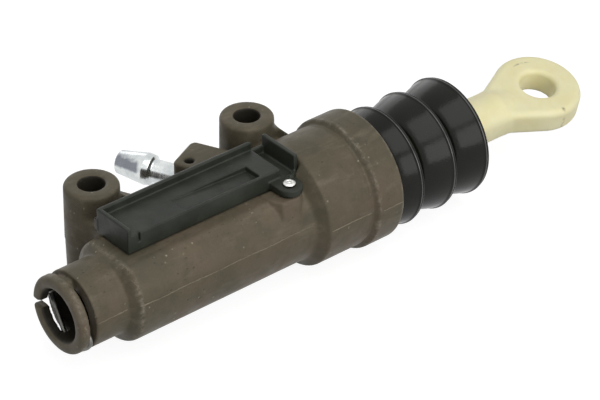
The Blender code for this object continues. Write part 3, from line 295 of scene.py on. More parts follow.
def surface(name, distance, low, high, step, hidden=None):
    """Mesh of the surface where a distance function is zero, as a net of quads.

    hidden tells, for the middles of the faces, which ones become a second object.
    """
    axes = [np.arange(a - step, b + 2 * step, step) for a, b in zip(low, high)]
    field = distance(*np.meshgrid(*axes, indexing="ij"))
    inside = field < 0
    shape = np.array(inside.shape) - 1
    count = np.zeros(shape, np.int8)
    for corner in np.ndindex(2, 2, 2):
        count += inside[tuple(slice(c, c + s) for c, s in zip(corner, shape))]
    active = (count > 0) & (count < 8)
    cells = np.argwhere(active)
    number = np.full(shape, -1)
    number[active] = np.arange(len(cells))
    total = np.zeros((len(cells), 3))
    hits = np.zeros(len(cells))
    quads = []
    for axis in range(3):
        second, third = (axis + 1) % 3, (axis + 2) % 3
        for shift in np.ndindex(2, 2):
            start = cells.copy()
            start[:, second] += shift[0]
            start[:, third] += shift[1]
            end = start.copy()
            end[:, axis] += 1
            first = field[tuple(start.T)]
            last = field[tuple(end.T)]
            crossed = (first < 0) != (last < 0)
            spot = start[crossed].astype(float)
            spot[:, axis] += first[crossed] / (first[crossed] - last[crossed])
            total[crossed] += spot
            hits[crossed] += 1
        ahead = np.take(inside, range(1, inside.shape[axis]), axis)
        behind = np.take(inside, range(inside.shape[axis] - 1), axis)
        edge = np.argwhere(ahead != behind)
        edge = edge[(edge[:, second] > 0) & (edge[:, third] > 0)]
        back = np.zeros(3, int)
        back[second] = 1
        side = np.zeros(3, int)
        side[third] = 1
        ring = [edge - back - side, edge - side, edge, edge - back]
        ids = np.stack([number[tuple(np.minimum(r, shape - 1).T)] for r in ring], 1)
        outward = behind[tuple(edge.T)]
        ids[~outward] = ids[~outward][:, ::-1]
        quads.append(ids[(ids >= 0).all(1)])
    quads = np.concatenate(quads)
    points = np.array([axis[0] for axis in axes]) + total / hits[:, None] * step
    for _ in range(3):
        points = settle(distance, relax(points, quads), step)
    if hidden is None:
        return mesh_object(name, to_row(points), quads)
    inner = hidden(*points[quads].mean(axis=1).T)
    made = []
    for label, chosen in ((name, ~inner), (name + "_bore", inner)):
        used, faces = np.unique(quads[chosen], return_inverse=True)
        made.append(mesh_object(label, to_row(points[used]), faces.reshape(-1, 4)))
    return made


def relax(points, quads):
    """Move each point half way to the middle of its neighbours."""
    total = np.zeros_like(points)
    count = np.zeros(len(points))
    for corner in range(4):
        here = quads[:, corner]
        for other in (quads[:, (corner + 1) % 4], quads[:, corner - 1]):
            np.add.at(total, here, points[other])
            np.add.at(count, here, 1)
    count[count == 0] = 1
    return 0.5 * points + 0.5 * total / count[:, None]


def settle(distance, points, step):
    """Move each point along the distance's slope back on to the surface."""
    small = step * 0.1
    slope = np.zeros_like(points)
    for axis in range(3):
        nudge = np.zeros(3)
        nudge[axis] = small
        slope[:, axis] = distance(*(points + nudge).T) - distance(*(points - nudge).T)
    slope /= 2 * small
    steep = np.maximum((slope ** 2).sum(1), 0.25)
    move = distance(*points.T) / steep
    move = np.clip(move, -step * 0.5, step * 0.5)
    return points - slope * move[:, None]


def placed(name, data):
    """A new object in the scene."""
    made = bpy.data.objects.new(name, data)
    bpy.context.scene.collection.objects.link(made)
    return made


def mesh_object(name, points, faces):
    """A smooth-shaded object made of row-frame points and faces."""
    mesh = bpy.data.meshes.new(name)
    faces = faces.tolist() if isinstance(faces, np.ndarray) else faces
    mesh.from_pydata(np.asarray(points).tolist(), [], faces)
    mesh.validate()
    mesh.shade_smooth()
    return placed(name, mesh)


def turned(name, outline, segments, place=(0, 0, 0), direction=(1, 0, 0)):
    """Spin a closed outline of (along, radius) millimetres round an axis of the bore's frame."""
    first = Vector(direction).normalized()
    second = Vector((0, 0, 1)).cross(first)
    if second.length < 1e-6:
        second = Vector((0, 1, 0)).cross(first)
    second.normalize()
    third = first.cross(second)
    rows = len(outline)
    points = []
    for index in range(segments):
        angle = math.tau * index / segments
        across = second * math.cos(angle) + third * math.sin(angle)
        points += [Vector(place) + first * along + across * radius for along, radius in outline]
    faces = []
    for index in range(segments):
        here = index * rows
        after = (index + 1) % segments * rows
        for row in range(rows):
            below = (row + 1) % rows
            faces.append((here + row, here + below, after + below, after + row))
    made = mesh_object(name, to_row(points), faces)
    weld = bmesh.new()
    weld.from_mesh(made.data)
    bmesh.ops.remove_doubles(weld, verts=weld.verts, dist=1e-6)
    bmesh.ops.dissolve_degenerate(weld, edges=weld.edges, dist=1e-7)
    bmesh.ops.recalc_face_normals(weld, faces=weld.faces)
    weld.to_mesh(made.data)
    weld.free()
    made.data.shade_smooth()
    return made


BARREL_OUTLINE = rounded([
    (SPIGOT_FRONT, -5, 0), (SPIGOT_FRONT, SPIGOT_RADIUS, SPIGOT_EDGE),
    (CLIP_X - CLIP_GROOVE_HALF, SPIGOT_RADIUS, 0.15),
    (CLIP_X - CLIP_GROOVE_HALF, CLIP_GROOVE_RADIUS, 0),
    (CLIP_X + CLIP_GROOVE_HALF, CLIP_GROOVE_RADIUS, 0),
    (CLIP_X + CLIP_GROOVE_HALF, SPIGOT_RADIUS, 0.15), (SPIGOT_END, SPIGOT_RADIUS, 1.1),
    (SPIGOT_END + SHOULDER, BARREL_RADIUS, 2.0), (COLLAR_EDGE + 2, BARREL_RADIUS, 0),
    (COLLAR_EDGE + 2, -5, 0),
])
COLLAR_OUTLINE = rounded([
    (COLLAR_FRONT, -5, 0), (COLLAR_FRONT, BARREL_RADIUS - COLLAR_LIFT, 0),
    (COLLAR_EDGE, COLLAR_RADIUS, 0.7), (RING_FRONT - 1.0, COLLAR_RADIUS, 0.5),
    (RING_FRONT, COLLAR_RADIUS - 0.35, 0.5), (RING_FRONT + 1.2, RING_RADIUS, 0.5),
    (COLLAR_END, RING_RADIUS, 1.0), (COLLAR_END, -5, 0),
])
CHAMBER_OUTLINE = [
    (SPIGOT_FRONT - 3, -5), (SPIGOT_FRONT - 3, SOCKET_RADIUS + 3.9),
    (SPIGOT_FRONT + 0.9, SOCKET_RADIUS), (SOCKET_END, SOCKET_RADIUS), (SOCKET_END, PASSAGE_RADIUS),
    (CHAMBER_START, PASSAGE_RADIUS), (CHAMBER_START, CHAMBER_RADIUS),
    (SEAL_BORE_START, CHAMBER_RADIUS), (SEAL_BORE_START, SEAL_BORE_RADIUS),
    (SNAP_GROOVE_START, SEAL_BORE_RADIUS), (SNAP_GROOVE_START, SNAP_GROOVE_RADIUS),
    (SNAP_GROOVE_END, SNAP_GROOVE_RADIUS), (SNAP_GROOVE_END, SEAL_BORE_RADIUS),
    (SEAL_BORE_END, SEAL_BORE_RADIUS), (SEAL_BORE_END, CUFF_STEP_RADIUS),
    (CUFF_START, CUFF_STEP_RADIUS), (CUFF_START, CUFF_RADIUS), (CUFF_GROOVE_START, CUFF_RADIUS),
    (CUFF_GROOVE_START, CUFF_GROOVE_RADIUS), (CUFF_GROOVE_END, CUFF_GROOVE_RADIUS),
    (CUFF_GROOVE_END, CUFF_RADIUS), (COLLAR_END + 3, CUFF_RADIUS), (COLLAR_END + 3, -5),
]
POST_OUTLINE = rounded([
    (41.0, -4.9, 0), (41.4, -9.8, 0.5), (43.6, -13.4, 0.9), (50.0, -13.4, 2.5), (53.2, -10.5, 2.5),
    (53.2, -4.9, 0),
])


def web_outline():
    """Plan of the web that carries the nipple."""
    across = Vector((-NIPPLE_AXIS.y, NIPPLE_AXIS.x))
    face = NIPPLE_FACE.xy
    left = face + across * WEB_HALF
    right = face - across * WEB_HALF
    inward = -NIPPLE_AXIS.xy
    return rounded([
        (*(left + inward * 18.0), 0), (*(right + inward * 20.0), 0), (*right, 2.0), (*left, 2.0),
    ])


def bolt_boss(x, y, z, place):
    """One bolt boss, widest at the parting plane, with its web to the barrel."""
    around = np.hypot(x - place, y - BOSS_Y)
    step = np.where(z < PARTING, 0.15, 0.0)
    radius = BOSS_RADIUS - step - BOSS_DRAFT * np.abs(z - PARTING) / (BOSS_TOP - PARTING)
    boss = slab(around - radius, z, BOSS_BOTTOM, BOSS_TOP, BOSS_EDGE)
    low = (place - BOSS_WEB_HALF, 6, BOSS_WEB_LOW)
    web = box(x, y, z, low, (place + BOSS_WEB_HALF, BOSS_Y, BOSS_WEB_HIGH), 0.8)
    return smooth_min(boss, web, 2.4)


def boss_ribs(x, y, z):
    """Level rib and sloping strut behind the front boss, and the gusset behind the rear one."""
    rib = box(x, y, z, (4.5, 20.0, -1.5), (32.0, 26.2, 4.0), 0.7)
    slope = math.tan(math.radians(35.0))
    outline = [(6.0, 16.6), (26.9, 16.6 - 20.9 * slope), (26.9, 13.9 - 20.9 * slope), (6.0, 13.9)]
    strut = slab(outline_distance(x, z, outline), y, 20.6, 25.6, 0.6)
    outline = [(65.0, -1.5), (75.8, -1.5), (75.8, 8.3), (68.5, 15.6), (65.0, 15.6)]
    gusset = slab(outline_distance(x, z, outline), y, 18.7, 21.7, 0.6)
    return smooth_min(smooth_min(rib, strut, 1.5), gusset, 0.5)


def housing(x, y, z):
    """The moulded housing."""
    barrel = outline_distance(x, np.hypot(y, z), BARREL_OUTLINE)
    ramp = np.interp(x, (SPIGOT_END, FLAT_RAMP_END), (-FLAT_RAMP_DROP, 0.0))
    barrel = smooth_max(barrel, z - FLAT_HEIGHT - ramp, 0.6)
    collar = outline_distance(x, np.hypot(y, z - COLLAR_LIFT), COLLAR_OUTLINE)
    low = (COLLAR_FRONT - 1, TRAY_NEAR - 1, FLAT_HEIGHT - 0.3)
    room = box(x, y, z, low, (REAR_WALL + 0.5, TRAY_FAR + 0.5, 30), 0.3)
    body = smooth_min(barrel, smooth_max(collar, -room, 0.5), 1.0)
    for place in (0.0, BOSS_SPACING):
        body = smooth_min(body, bolt_boss(x, y, z, place), 2.2)
    web = slab(outline_distance(x, y, web_outline()), z, WEB_BOTTOM, WEB_TOP, 0.7)
    body = smooth_min(body, web, 1.6)
    body = smooth_min(body, boss_ribs(x, y, z), 1.6)
    body = smooth_min(body, post(x, y, z), 0.7)
    chamber = outline_distance(x, np.hypot(y, z), CHAMBER_OUTLINE)
    body = smooth_max(body, -chamber, 0.35)
    for place in (0.0, BOSS_SPACING):
        around = np.hypot(x - place, y - BOSS_Y)
        past = np.abs(z - (BOSS_TOP + BOSS_BOTTOM) / 2) - (BOSS_TOP - BOSS_BOTTOM) / 2
        flare = np.maximum(past + BOLT_CHAMFER, 0)
        body = smooth_max(body, BOLT_RADIUS + flare - around, 0.4)
    return cut_holes(body, x, y, z)


def post(x, y, z):
    """The tapered post under the bracket's rivet, which leans out as it goes down."""
    top = REAR_FLOOR - LUG_THICKNESS - 0.3
    below = top - z
    sides = outline_distance(x + below * 0.14, y + below * 0.2, POST_OUTLINE)
    return smooth_max(sides, np.maximum(z - top, POST_FOOT - z), 0.6)


def cut_holes(body, x, y, z):
    """Nipple hole, pin hole, rivet hole, clip slots and the notch in the socket's end."""
    offset = np.stack([x - NIPPLE_FACE.x, y - NIPPLE_FACE.y, z - NIPPLE_FACE.z], -1)
    along = offset @ np.array(NIPPLE_AXIS)
    around = np.sqrt(np.maximum((offset ** 2).sum(-1) - along ** 2, 0))
    stepped = [(3, -3), (3, 4.8), (-2.2, 4.8), (-2.2, 3.5), (-10.8, 3.5), (-10.8, 1.3), (-24, 1.3), (-24, -3)]
    hole = outline_distance(along, around, stepped)
    body = smooth_max(body, -hole, 0.3)
    pin = pin_spot()
    flare = np.clip(z - WEB_TOP + 0.7, 0, 0.8)
    around = np.hypot(x - pin.x, y - pin.y) - PIN_HOLE - flare
    body = smooth_max(body, -slab(around, z, 0.5, 17, 0.1), 0.3)
    around = np.hypot(x - RIVET.x, y - RIVET.y) - RIVET_HOLE
    body = smooth_max(body, -slab(around, z, RIVET_HOLE_END, 17, 0.1), 0.3)
    across = -y * math.sin(CLIP_TURN) + z * math.cos(CLIP_TURN)
    push = y * math.cos(CLIP_TURN) + z * math.sin(CLIP_TURN)
    for side in (1, -1):
        plan = np.maximum(CLIP_SLOT_START - side * across, np.abs(push) - CLIP_SLOT_REACH)
        slot = np.maximum(np.abs(x - CLIP_X) - CLIP_SLOT_HALF, plan)
        body = smooth_max(body, -slot, 0.2)
    notch = np.maximum(np.abs(z - NOTCH_Z) - NOTCH_HALF, np.maximum(x - CLIP_X, -y))
    return smooth_max(body, -notch, 0.3)


def pin_spot():
    """Where the roll pin crosses the nipple's groove."""
    across = Vector((-NIPPLE_AXIS.y, NIPPLE_AXIS.x, 0))
    return NIPPLE_FACE - NIPPLE_AXIS * PIN_DEPTH + across * PIN_ASIDE


def bracket(x, y, z):
    """The sensor bracket: cored tray, low rear floor, rear wall, rivet lug and hook."""
    body = box(x, y, z, (TRAY_FRONT, TRAY_NEAR, TRAY_BOTTOM), (TRAY_REAR, TRAY_FAR, TRAY_RIM), 0.35)
    low = (TRAY_FRONT + TRAY_WALL, TRAY_NEAR - 4, TRAY_FLOOR)
    well = box(x, y, z, low, (TRAY_REAR + 4, TRAY_FAR - TRAY_WALL, 30), 0.3)
    body = smooth_max(body, -well, 0.3)
    rear = box(x, y, z, (TRAY_REAR - RIB, TRAY_NEAR, TRAY_BOTTOM), (REAR_WALL, TRAY_FAR, REAR_FLOOR), 0.3)
    low = (REAR_WALL - REAR_WALL_HALF, TRAY_NEAR - 0.5, TRAY_BOTTOM + 0.5)
    wall = box(x, y, z, low, (REAR_WALL + 0.2, TRAY_FAR - 0.2, REAR_WALL_TOP), 0.35)
    body = smooth_min(body, smooth_min(rear, wall, 0.8), 0.5)
    plan = np.maximum(np.hypot(x - RIVET.x, np.minimum(y - RIVET.y, 0)) - LUG_RADIUS, y)
    lug = slab(plan, z, REAR_FLOOR - LUG_THICKNESS, REAR_FLOOR, 0.35)
    body = smooth_min(body, lug, 0.6)
    hook = box(x, y, z, (TRAY_FRONT - 0.1, TRAY_FAR - 0.5, 14.8), (TRAY_FRONT + 3, TRAY_FAR + 1.2, 18.8), 0.3)
    body = smooth_min(body, hook, 0.5)
    pitch = (TRAY_REAR - TRAY_FRONT - RIB) / CORES
    for index in range(CORES):
        start = TRAY_FRONT + RIB + index * pitch
        low = (start, TRAY_NEAR + RIB, 8)
        core = box(x, y, z, low, (start + pitch - RIB, TRAY_FAR - RIB, TRAY_CORE_TOP), 0.4)
        body = smooth_max(body, -core, 0.3)
    low = (TRAY_REAR - 0.6, TRAY_FAR - TRAY_WALL, 16.0)
    far_rail = box(x, y, z, low, (REAR_WALL, TRAY_FAR, FAR_RAIL_TOP), 0.25)
    body = smooth_min(body, far_rail, 0.3)
    corner_rib = np.hypot(np.hypot(x - 51.5, y + 1.0) - 5.2, z - REAR_FLOOR) - 0.7
    corner_rib = np.maximum(corner_rib, np.maximum(51.5 - x, y + 1.0))
    body = smooth_min(body, corner_rib, 0.4)
    for spot_x, spot_y, level, size in ((38.5, 6.8, TRAY_FLOOR, 0.75), (48.9, -3.4, REAR_FLOOR, 0.4)):
        dot = slab(np.hypot(x - spot_x, y - spot_y) - size, z, level - 0.5, level + 0.15, 0.1)
        body = smooth_min(body, dot, 0.15)
    depth = np.interp(x, (POCKET_START, POCKET_END), POCKET_DEPTHS)
    ends = np.abs(x - (POCKET_START + POCKET_END) / 2) - (POCKET_END - POCKET_START) / 2
    plan = np.maximum(ends, np.maximum(y - POCKET_FAR, POCKET_NEAR - y))
    pocket = np.maximum(plan, TRAY_FLOOR - depth - z)
    body = smooth_max(body, -pocket, 0.2)
    slit = box(x, y, z, (-4.9, TRAY_NEAR - 2, 17.0), (-4.1, TRAY_NEAR + 0.9, 21), 0.2)
    body = smooth_max(body, -slit, 0.2)
    return smooth_max(body, RIVET_HOLE - np.hypot(x - RIVET.x, y - RIVET.y), 0.2)


def fitted_eye(x, y):
    """Plan distance of the eye: a disc whose tangents run into the rod's width."""
    disc = np.hypot(x - EYE_X, y) - EYE_RADIUS
    touch = Vector((EYE_X - EYE_RADIUS * math.sin(EYE_LEAN), EYE_RADIUS * math.cos(EYE_LEAN)))
    flare = np.abs(y) - (touch.y + (x - touch.x) * math.tan(EYE_LEAN))
    wedge = np.maximum(flare * math.cos(EYE_LEAN), np.maximum(x - touch.x, EYE_FLARE_START - x))
    neck = np.maximum(np.abs(y) - EYE_WAIST, np.maximum(x - EYE_X, EYE_NECK_START - x))
    return np.minimum(disc, smooth_min(wedge, neck, 1.2))


def rod(x, across, upright):
    """The push rod: ball, shank, grooved neck, and an eye turned about the rod's length."""
    y = across * math.cos(EYE_ROLL) + upright * math.sin(EYE_ROLL)
    z = upright * math.cos(EYE_ROLL) - across * math.sin(EYE_ROLL)
    r = np.hypot(y, z)
    outline = [
        (BALL_X, -5), (BALL_X, SHANK_RADIUS), (BALL_X + 40, SHANK_RADIUS),
        (BALL_X + 46, ROD_RADIUS), (NECK_GROOVE_START, ROD_RADIUS),
        (NECK_GROOVE_START, ROD_GROOVE_RADIUS), (NECK_GROOVE_END, ROD_GROOVE_RADIUS),
        (NECK_GROOVE_END, ROD_RADIUS), (ROD_END, ROD_RADIUS), (ROD_TIP, 4.3), (ROD_TIP + 2, -5),
    ]
    body = outline_distance(x, r, outline)
    ball = np.sqrt((x - BALL_X) ** 2 + r ** 2) - BALL_RADIUS
    body = smooth_min(body, ball, 0.5)
    eye = slab(fitted_eye(x, y), z, -EYE_HALF, EYE_HALF, EYE_EDGE)
    body = smooth_min(body, eye, 1.8)
    around = np.hypot(x - EYE_X, y)
    deep = np.clip(np.abs(z) - EYE_HALF + EYE_HOLE_EDGE, 0, EYE_HOLE_EDGE)
    mouth = EYE_HOLE_EDGE - np.sqrt(EYE_HOLE_EDGE ** 2 - deep ** 2)
    return smooth_max(body, EYE_HOLE + mouth - around, 0.3)


def tubes(name, routes, sides):
    """Swept round wires as one object; each route is (points, radii), and one that ends where
    it starts is a ring without ends."""
    points = []
    faces = []
    for route, radii in routes:
        route = [Vector(point) for point in route]
        ring = (route[0] - route[-1]).length < 1e-6
        if ring:
            route.pop()
        last = len(route) - 1
        base = len(points)
        side = None
        for index, point in enumerate(route):
            ahead = (index + 1) % len(route) if ring else min(index + 1, last)
            behind = index - 1 if ring else max(index - 1, 0)
            along = (route[ahead] - route[behind]).normalized()
            if side is None:
                side = along.orthogonal().normalized()
            side = (side - along * side.dot(along)).normalized()
            other = along.cross(side)
            radius = radii if isinstance(radii, float) else radii[index]
            for step in range(sides):
                angle = math.tau * step / sides
                points.append(point + (side * math.cos(angle) + other * math.sin(angle)) * radius)
        for index in range(len(route) if ring else last):
            here = base + index * sides
            there = base + (index + 1) % len(route) * sides
            for step in range(sides):
                after = (step + 1) % sides
                faces.append((here + step, here + after, there + after, there + step))
        if not ring:
            faces.append(tuple(range(base, base + sides))[::-1])
            faces.append(tuple(range(len(points) - sides, len(points))))
    return mesh_object(name, to_row(points), faces)


def finish_piece(piece, body, slot, *nodes):
    """Hang a piece on its body, hide the CAD nodes it stands for, and give it its material."""
    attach(piece, body)
    if nodes:
        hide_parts(*nodes)
    piece.data.materials.clear()
    piece.data.materials.append(FINISHES[slot])
    return piece


# Materials

class Finish:
    """Short calls that build one procedural material from nodes."""

    def __init__(self, name, metallic=0.0, specular=0.5):
        self.material = bpy.data.materials.new(name)
        self.material.use_nodes = True
        self.tree = self.material.node_tree
        self.shader = self.tree.nodes["Principled BSDF"]
        self.shader.inputs["Metallic"].default_value = metallic
        self.shader.inputs["Specular IOR Level"].default_value = specular
        self.place = self.tree.nodes.new("ShaderNodeTexCoord").outputs["Object"]

    def feed(self, socket, value):
        """Link an input to another node's output, or set it."""
        if isinstance(value, bpy.types.NodeSocket):
            self.tree.links.new(value, socket)
        else:
            socket.default_value = value

    def node(self, kind, settings, inputs):
        """Add a node with some settings and inputs, and return its first output."""
        made = self.tree.nodes.new(kind)
        for key, value in settings.items():
            setattr(made, key, value)
        for key, value in inputs.items():
            self.feed(made.inputs[key], value)
        return made.outputs[0]

    def stretched(self, scale):
        """The place on the object, stretched by a vector."""
        return self.node("ShaderNodeVectorMath", {"operation": "MULTIPLY"}, {0: self.place, 1: scale})

    def noise(self, scale, detail=4.0, rough=0.55, place=None, warp=0.0):
        """Cloudy noise between 0 and 1."""
        return self.node("ShaderNodeTexNoise", {}, {
            "Vector": place or self.place,
            "Scale": scale,
            "Detail": detail,
            "Roughness": rough,
            "Distortion": warp,
        })

    def dots(self, scale, size, place=None):
        """Round spots: 1 inside a spot of some share of a cell, 0 outside."""
        gap = self.node("ShaderNodeTexVoronoi", {}, {"Vector": place or self.place, "Scale": scale})
        return self.band(gap, size, size * 0.6)

    def band(self, value, low, high, to_low=0.0, to_high=1.0):
        """Map a value's range to another, and clamp it."""
        return self.node("ShaderNodeMapRange", {}, {
            "Value": value, "From Min": low, "From Max": high, "To Min": to_low, "To Max": to_high})

    def maths(self, operation, first, second=0.0):
        """One arithmetic step."""
        return self.node("ShaderNodeMath", {"operation": operation}, {0: first, 1: second})

    def times(self, first, *others):
        """The product of some values."""
        for other in others:
            first = self.maths("MULTIPLY", first, other)
        return first

    def plus(self, first, second):
        """The sum of two values."""
        return self.maths("ADD", first, second)

    def length(self, first, second):
        """The length of two sides at a right angle."""
        return self.maths("SQRT", self.plus(self.times(first, first), self.times(second, second)))

    def mix(self, share, first, second):
        """Blend of two colours, each a socket or three numbers."""
        made = self.tree.nodes.new("ShaderNodeMix")
        made.data_type = "RGBA"
        for socket, value in ((made.inputs[0], share), (made.inputs[6], first), (made.inputs[7], second)):
            self.feed(socket, (*value, 1.0) if isinstance(value, tuple) else value)
        return made.outputs[2]

    def coordinate(self, axis, start=0.0):
        """One coordinate of the place on the object, in metres from a start."""
        made = self.tree.nodes.new("ShaderNodeSeparateXYZ")
        self.tree.links.new(self.place, made.inputs[0])
        return self.maths("SUBTRACT", made.outputs[axis], start) if start else made.outputs[axis]

    def along(self, direction):
        """How far the place lies along a direction."""
        self.node("ShaderNodeVectorMath", {"operation": "DOT_PRODUCT"}, {0: self.place, 1: direction})
        return self.tree.nodes[-1].outputs["Value"]

    def near(self, value, middle, width):
        """1 at a value's middle, down to 0 at a distance of width."""
        apart = self.maths("ABSOLUTE", self.maths("SUBTRACT", value, middle))
        return self.band(apart, width, 0.0)

    def done(self, colour, roughness, height=None, depth=0.0):
        """Wire the colour, roughness and relief into the shader; depth is in metres."""
        self.tree.links.new(colour, self.shader.inputs["Base Color"])
        self.tree.links.new(roughness, self.shader.inputs["Roughness"])
        if height is not None:
            relief = self.node("ShaderNodeBump", {}, {"Height": height, "Strength": 1.0, "Distance": depth})
            self.tree.links.new(relief, self.shader.inputs["Normal"])
        return self.material


def painted_hole_shade(f):
    """1 on the walls of the socket, the bolt holes and the pin's hole, which get painted shade."""
    around = f.length(f.coordinate(1, AXIS_Y), f.coordinate(2, AXIS_Z))
    ahead = f.band(f.coordinate(0), (SOCKET_END + 1) * MM, SOCKET_END * MM)
    mask = f.times(f.band(around, (SOCKET_RADIUS + 0.5) * MM, (SOCKET_RADIUS + 0.1) * MM), ahead)
    for place in (0.0, BOSS_SPACING):
        gap = f.length(f.coordinate(0, place * MM), f.coordinate(1))
        hole = f.band(gap, (BOLT_RADIUS + 0.3) * MM, (BOLT_RADIUS + 0.1) * MM)
        mask = f.maths("MAXIMUM", mask, hole)
    pin = Vector(to_row([pin_spot()])[0])
    gap = f.length(f.coordinate(0, pin.x), f.coordinate(1, pin.y))
    high = f.band(f.coordinate(2), pin.z + 7 * MM, pin.z + 8 * MM)
    hole = f.times(f.band(gap, (PIN_HOLE + 0.6) * MM, (PIN_HOLE + 0.2) * MM), high)
    return f.maths("MAXIMUM", mask, hole)


def eye_marks(f, colour):
    """A worn dark arc beside the eye's hole and a small dark mark on its near edge."""
    across = f.coordinate(1, AXIS_Y)
    along = f.coordinate(0, EYE_X * MM)
    around = f.length(across, along)
    arc = f.times(f.near(around, 9.4 * MM, 0.45 * MM), f.near(along, 1.4 * MM, 3.6 * MM))
    arc = f.times(arc, f.band(across, 0.0, 1.0 * MM))
    spot = f.times(f.near(across, -14.0 * MM, 0.8 * MM), f.near(along, -0.8 * MM, 0.9 * MM))
    rough = f.band(f.noise(900.0, 3.0), 0.35, 0.55)
    mask = f.times(f.maths("MAXIMUM", arc, spot), rough)
    return f.mix(f.times(mask, 0.8), colour, (0.09, 0.075, 0.04))


def phenolic_finish():
    """Olive-brown moulded phenolic: cloudy colour, fine grain, pale specks, scuffed edges with a painted
    highlight, a painted highlight on the spigot's front face, and painted shade in the holes.
    """
    f = Finish("phenolic_finish", specular=0.18)
    clouds = f.noise(70.0, 5.0, 0.6, warp=0.6)
    colour = f.mix(f.band(clouds, 0.38, 0.66), (0.098, 0.086, 0.056), (0.137, 0.114, 0.077))
    warm = f.noise(38.0, 3.0, 0.5)
    colour = f.mix(f.band(warm, 0.45, 0.65, 0.0, 0.6), colour, (0.150, 0.112, 0.078))
    patches = f.noise(190.0, 6.0, 0.65)
    colour = f.mix(f.band(patches, 0.48, 0.68, 0.0, 0.6), colour, (0.080, 0.073, 0.048))
    streaks = f.noise(260.0, 4.0, 0.6, f.stretched((0.25, 1.0, 1.0)))
    colour = f.mix(f.band(streaks, 0.54, 0.72, 0.0, 0.5), colour, (0.200, 0.172, 0.125))
    grain = f.noise(1500.0, 3.0, 0.6)
    colour = f.mix(f.band(grain, 0.35, 0.7, 0.0, 0.25), colour, (0.075, 0.066, 0.048))
    rare = f.band(f.noise(95.0, 2.0), 0.47, 0.58)
    ragged = f.noise(1400.0, 2.0, 0.6)
    specks = f.times(f.dots(460.0, 0.15, f.stretched((0.7, 1.0, 0.6))), rare, f.band(ragged, 0.42, 0.55))
    colour = f.mix(f.times(specks, 0.75), colour, (0.34, 0.31, 0.23))
    rare = f.band(f.noise(60.0, 2.0), 0.48, 0.56)
    pits = f.times(f.dots(560.0, 0.2, f.stretched((0.6, 1.0, 1.0))), rare, f.band(ragged, 0.38, 0.52))
    colour = f.mix(f.times(pits, 0.45), colour, (0.030, 0.027, 0.020))
    along = f.coordinate(0)
    edges = f.near(along, (RING_FRONT + 1.4) * MM, 0.0011)
    for middle, width in ((SPIGOT_FRONT + 1.8, 0.0012), (SPIGOT_END + 2.6, 0.0012), (COLLAR_END - 0.4, 0.0009)):
        edges = f.plus(edges, f.near(along, middle * MM, width))
    # Paler edge rings: rubbed wear together with a painted highlight on these edges
    wear_and_highlight = f.times(edges, f.band(f.noise(420.0, 5.0, 0.7), 0.45, 0.66))
    colour = f.mix(f.times(wear_and_highlight, 0.7), colour, (0.34, 0.30, 0.235))
    # Painted highlight: the spigot's front face is made paler
    lip = f.times(f.band(along, (SPIGOT_FRONT + 1.0) * MM, SPIGOT_FRONT * MM), f.band(patches, 0.3, 0.7))
    colour = f.mix(f.times(lip, 0.5), colour, (0.27, 0.24, 0.185))
    # Painted shade: the socket, bolt holes and pin hole are darkened nearly to black
    colour = f.mix(f.times(painted_hole_shade(f), 0.85), colour, (0.012, 0.011, 0.009))
    roughness = f.band(f.noise(240.0, 4.0), 0.3, 0.7, 0.42, 0.58)
    height = f.plus(f.times(grain, 0.6), f.times(streaks, 1.2))
    height = f.maths("SUBTRACT", height, pits)
    return f.done(colour, roughness, height, 0.00006)


def plastic_finish(name, dark, light, low, high, specular=0.5, depth=0.00003, weight=0.0, marks=None):
    """Moulded plastic: a little cloudy, with fine grain and faint dust."""
    f = Finish(name, specular=specular)
    clouds = f.noise(120.0, 5.0, 0.6)
    colour = f.mix(f.band(clouds, 0.35, 0.68), dark, light)
    grain = f.noise(2200.0, 2.0, 0.6)
    dust = f.times(f.dots(520.0, 0.1), f.band(f.noise(75.0, 2.0), 0.54, 0.64))
    pale = tuple(min(channel * 1.5 + 0.05, 1.0) for channel in light)
    colour = f.mix(f.times(dust, 0.45), colour, pale)
    if marks:
        colour = marks(f, colour)
    roughness = f.band(f.noise(300.0, 5.0, 0.65), 0.32, 0.7, low, high)
    made = f.done(colour, roughness, grain, depth)
    for key, value in (("Weight", weight), ("Radius", (0.004, 0.003, 0.0015)), ("Scale", 1.0)):
        f.shader.inputs["Subsurface " + key].default_value = value
    return made


def rubber_finish(name="bellows_finish", specular=0.21, low=0.14, high=0.24):
    """Satin black rubber of the bellows, with faint dust and uneven gloss."""
    f = Finish(name, specular=specular)
    clouds = f.noise(90.0, 5.0, 0.6, warp=0.4)
    colour = f.mix(f.band(clouds, 0.35, 0.7), (0.0040, 0.0042, 0.0022), (0.0080, 0.0080, 0.0050))
    dust = f.times(f.dots(650.0, 0.09), f.band(f.noise(60.0, 3.0), 0.5, 0.62))
    colour = f.mix(f.times(dust, 0.3), colour, (0.08, 0.078, 0.07))
    roughness = f.band(f.noise(160.0, 5.0, 0.65), 0.3, 0.72, low, high)
    return f.done(colour, roughness, f.noise(1100.0, 3.0), 0.00003)


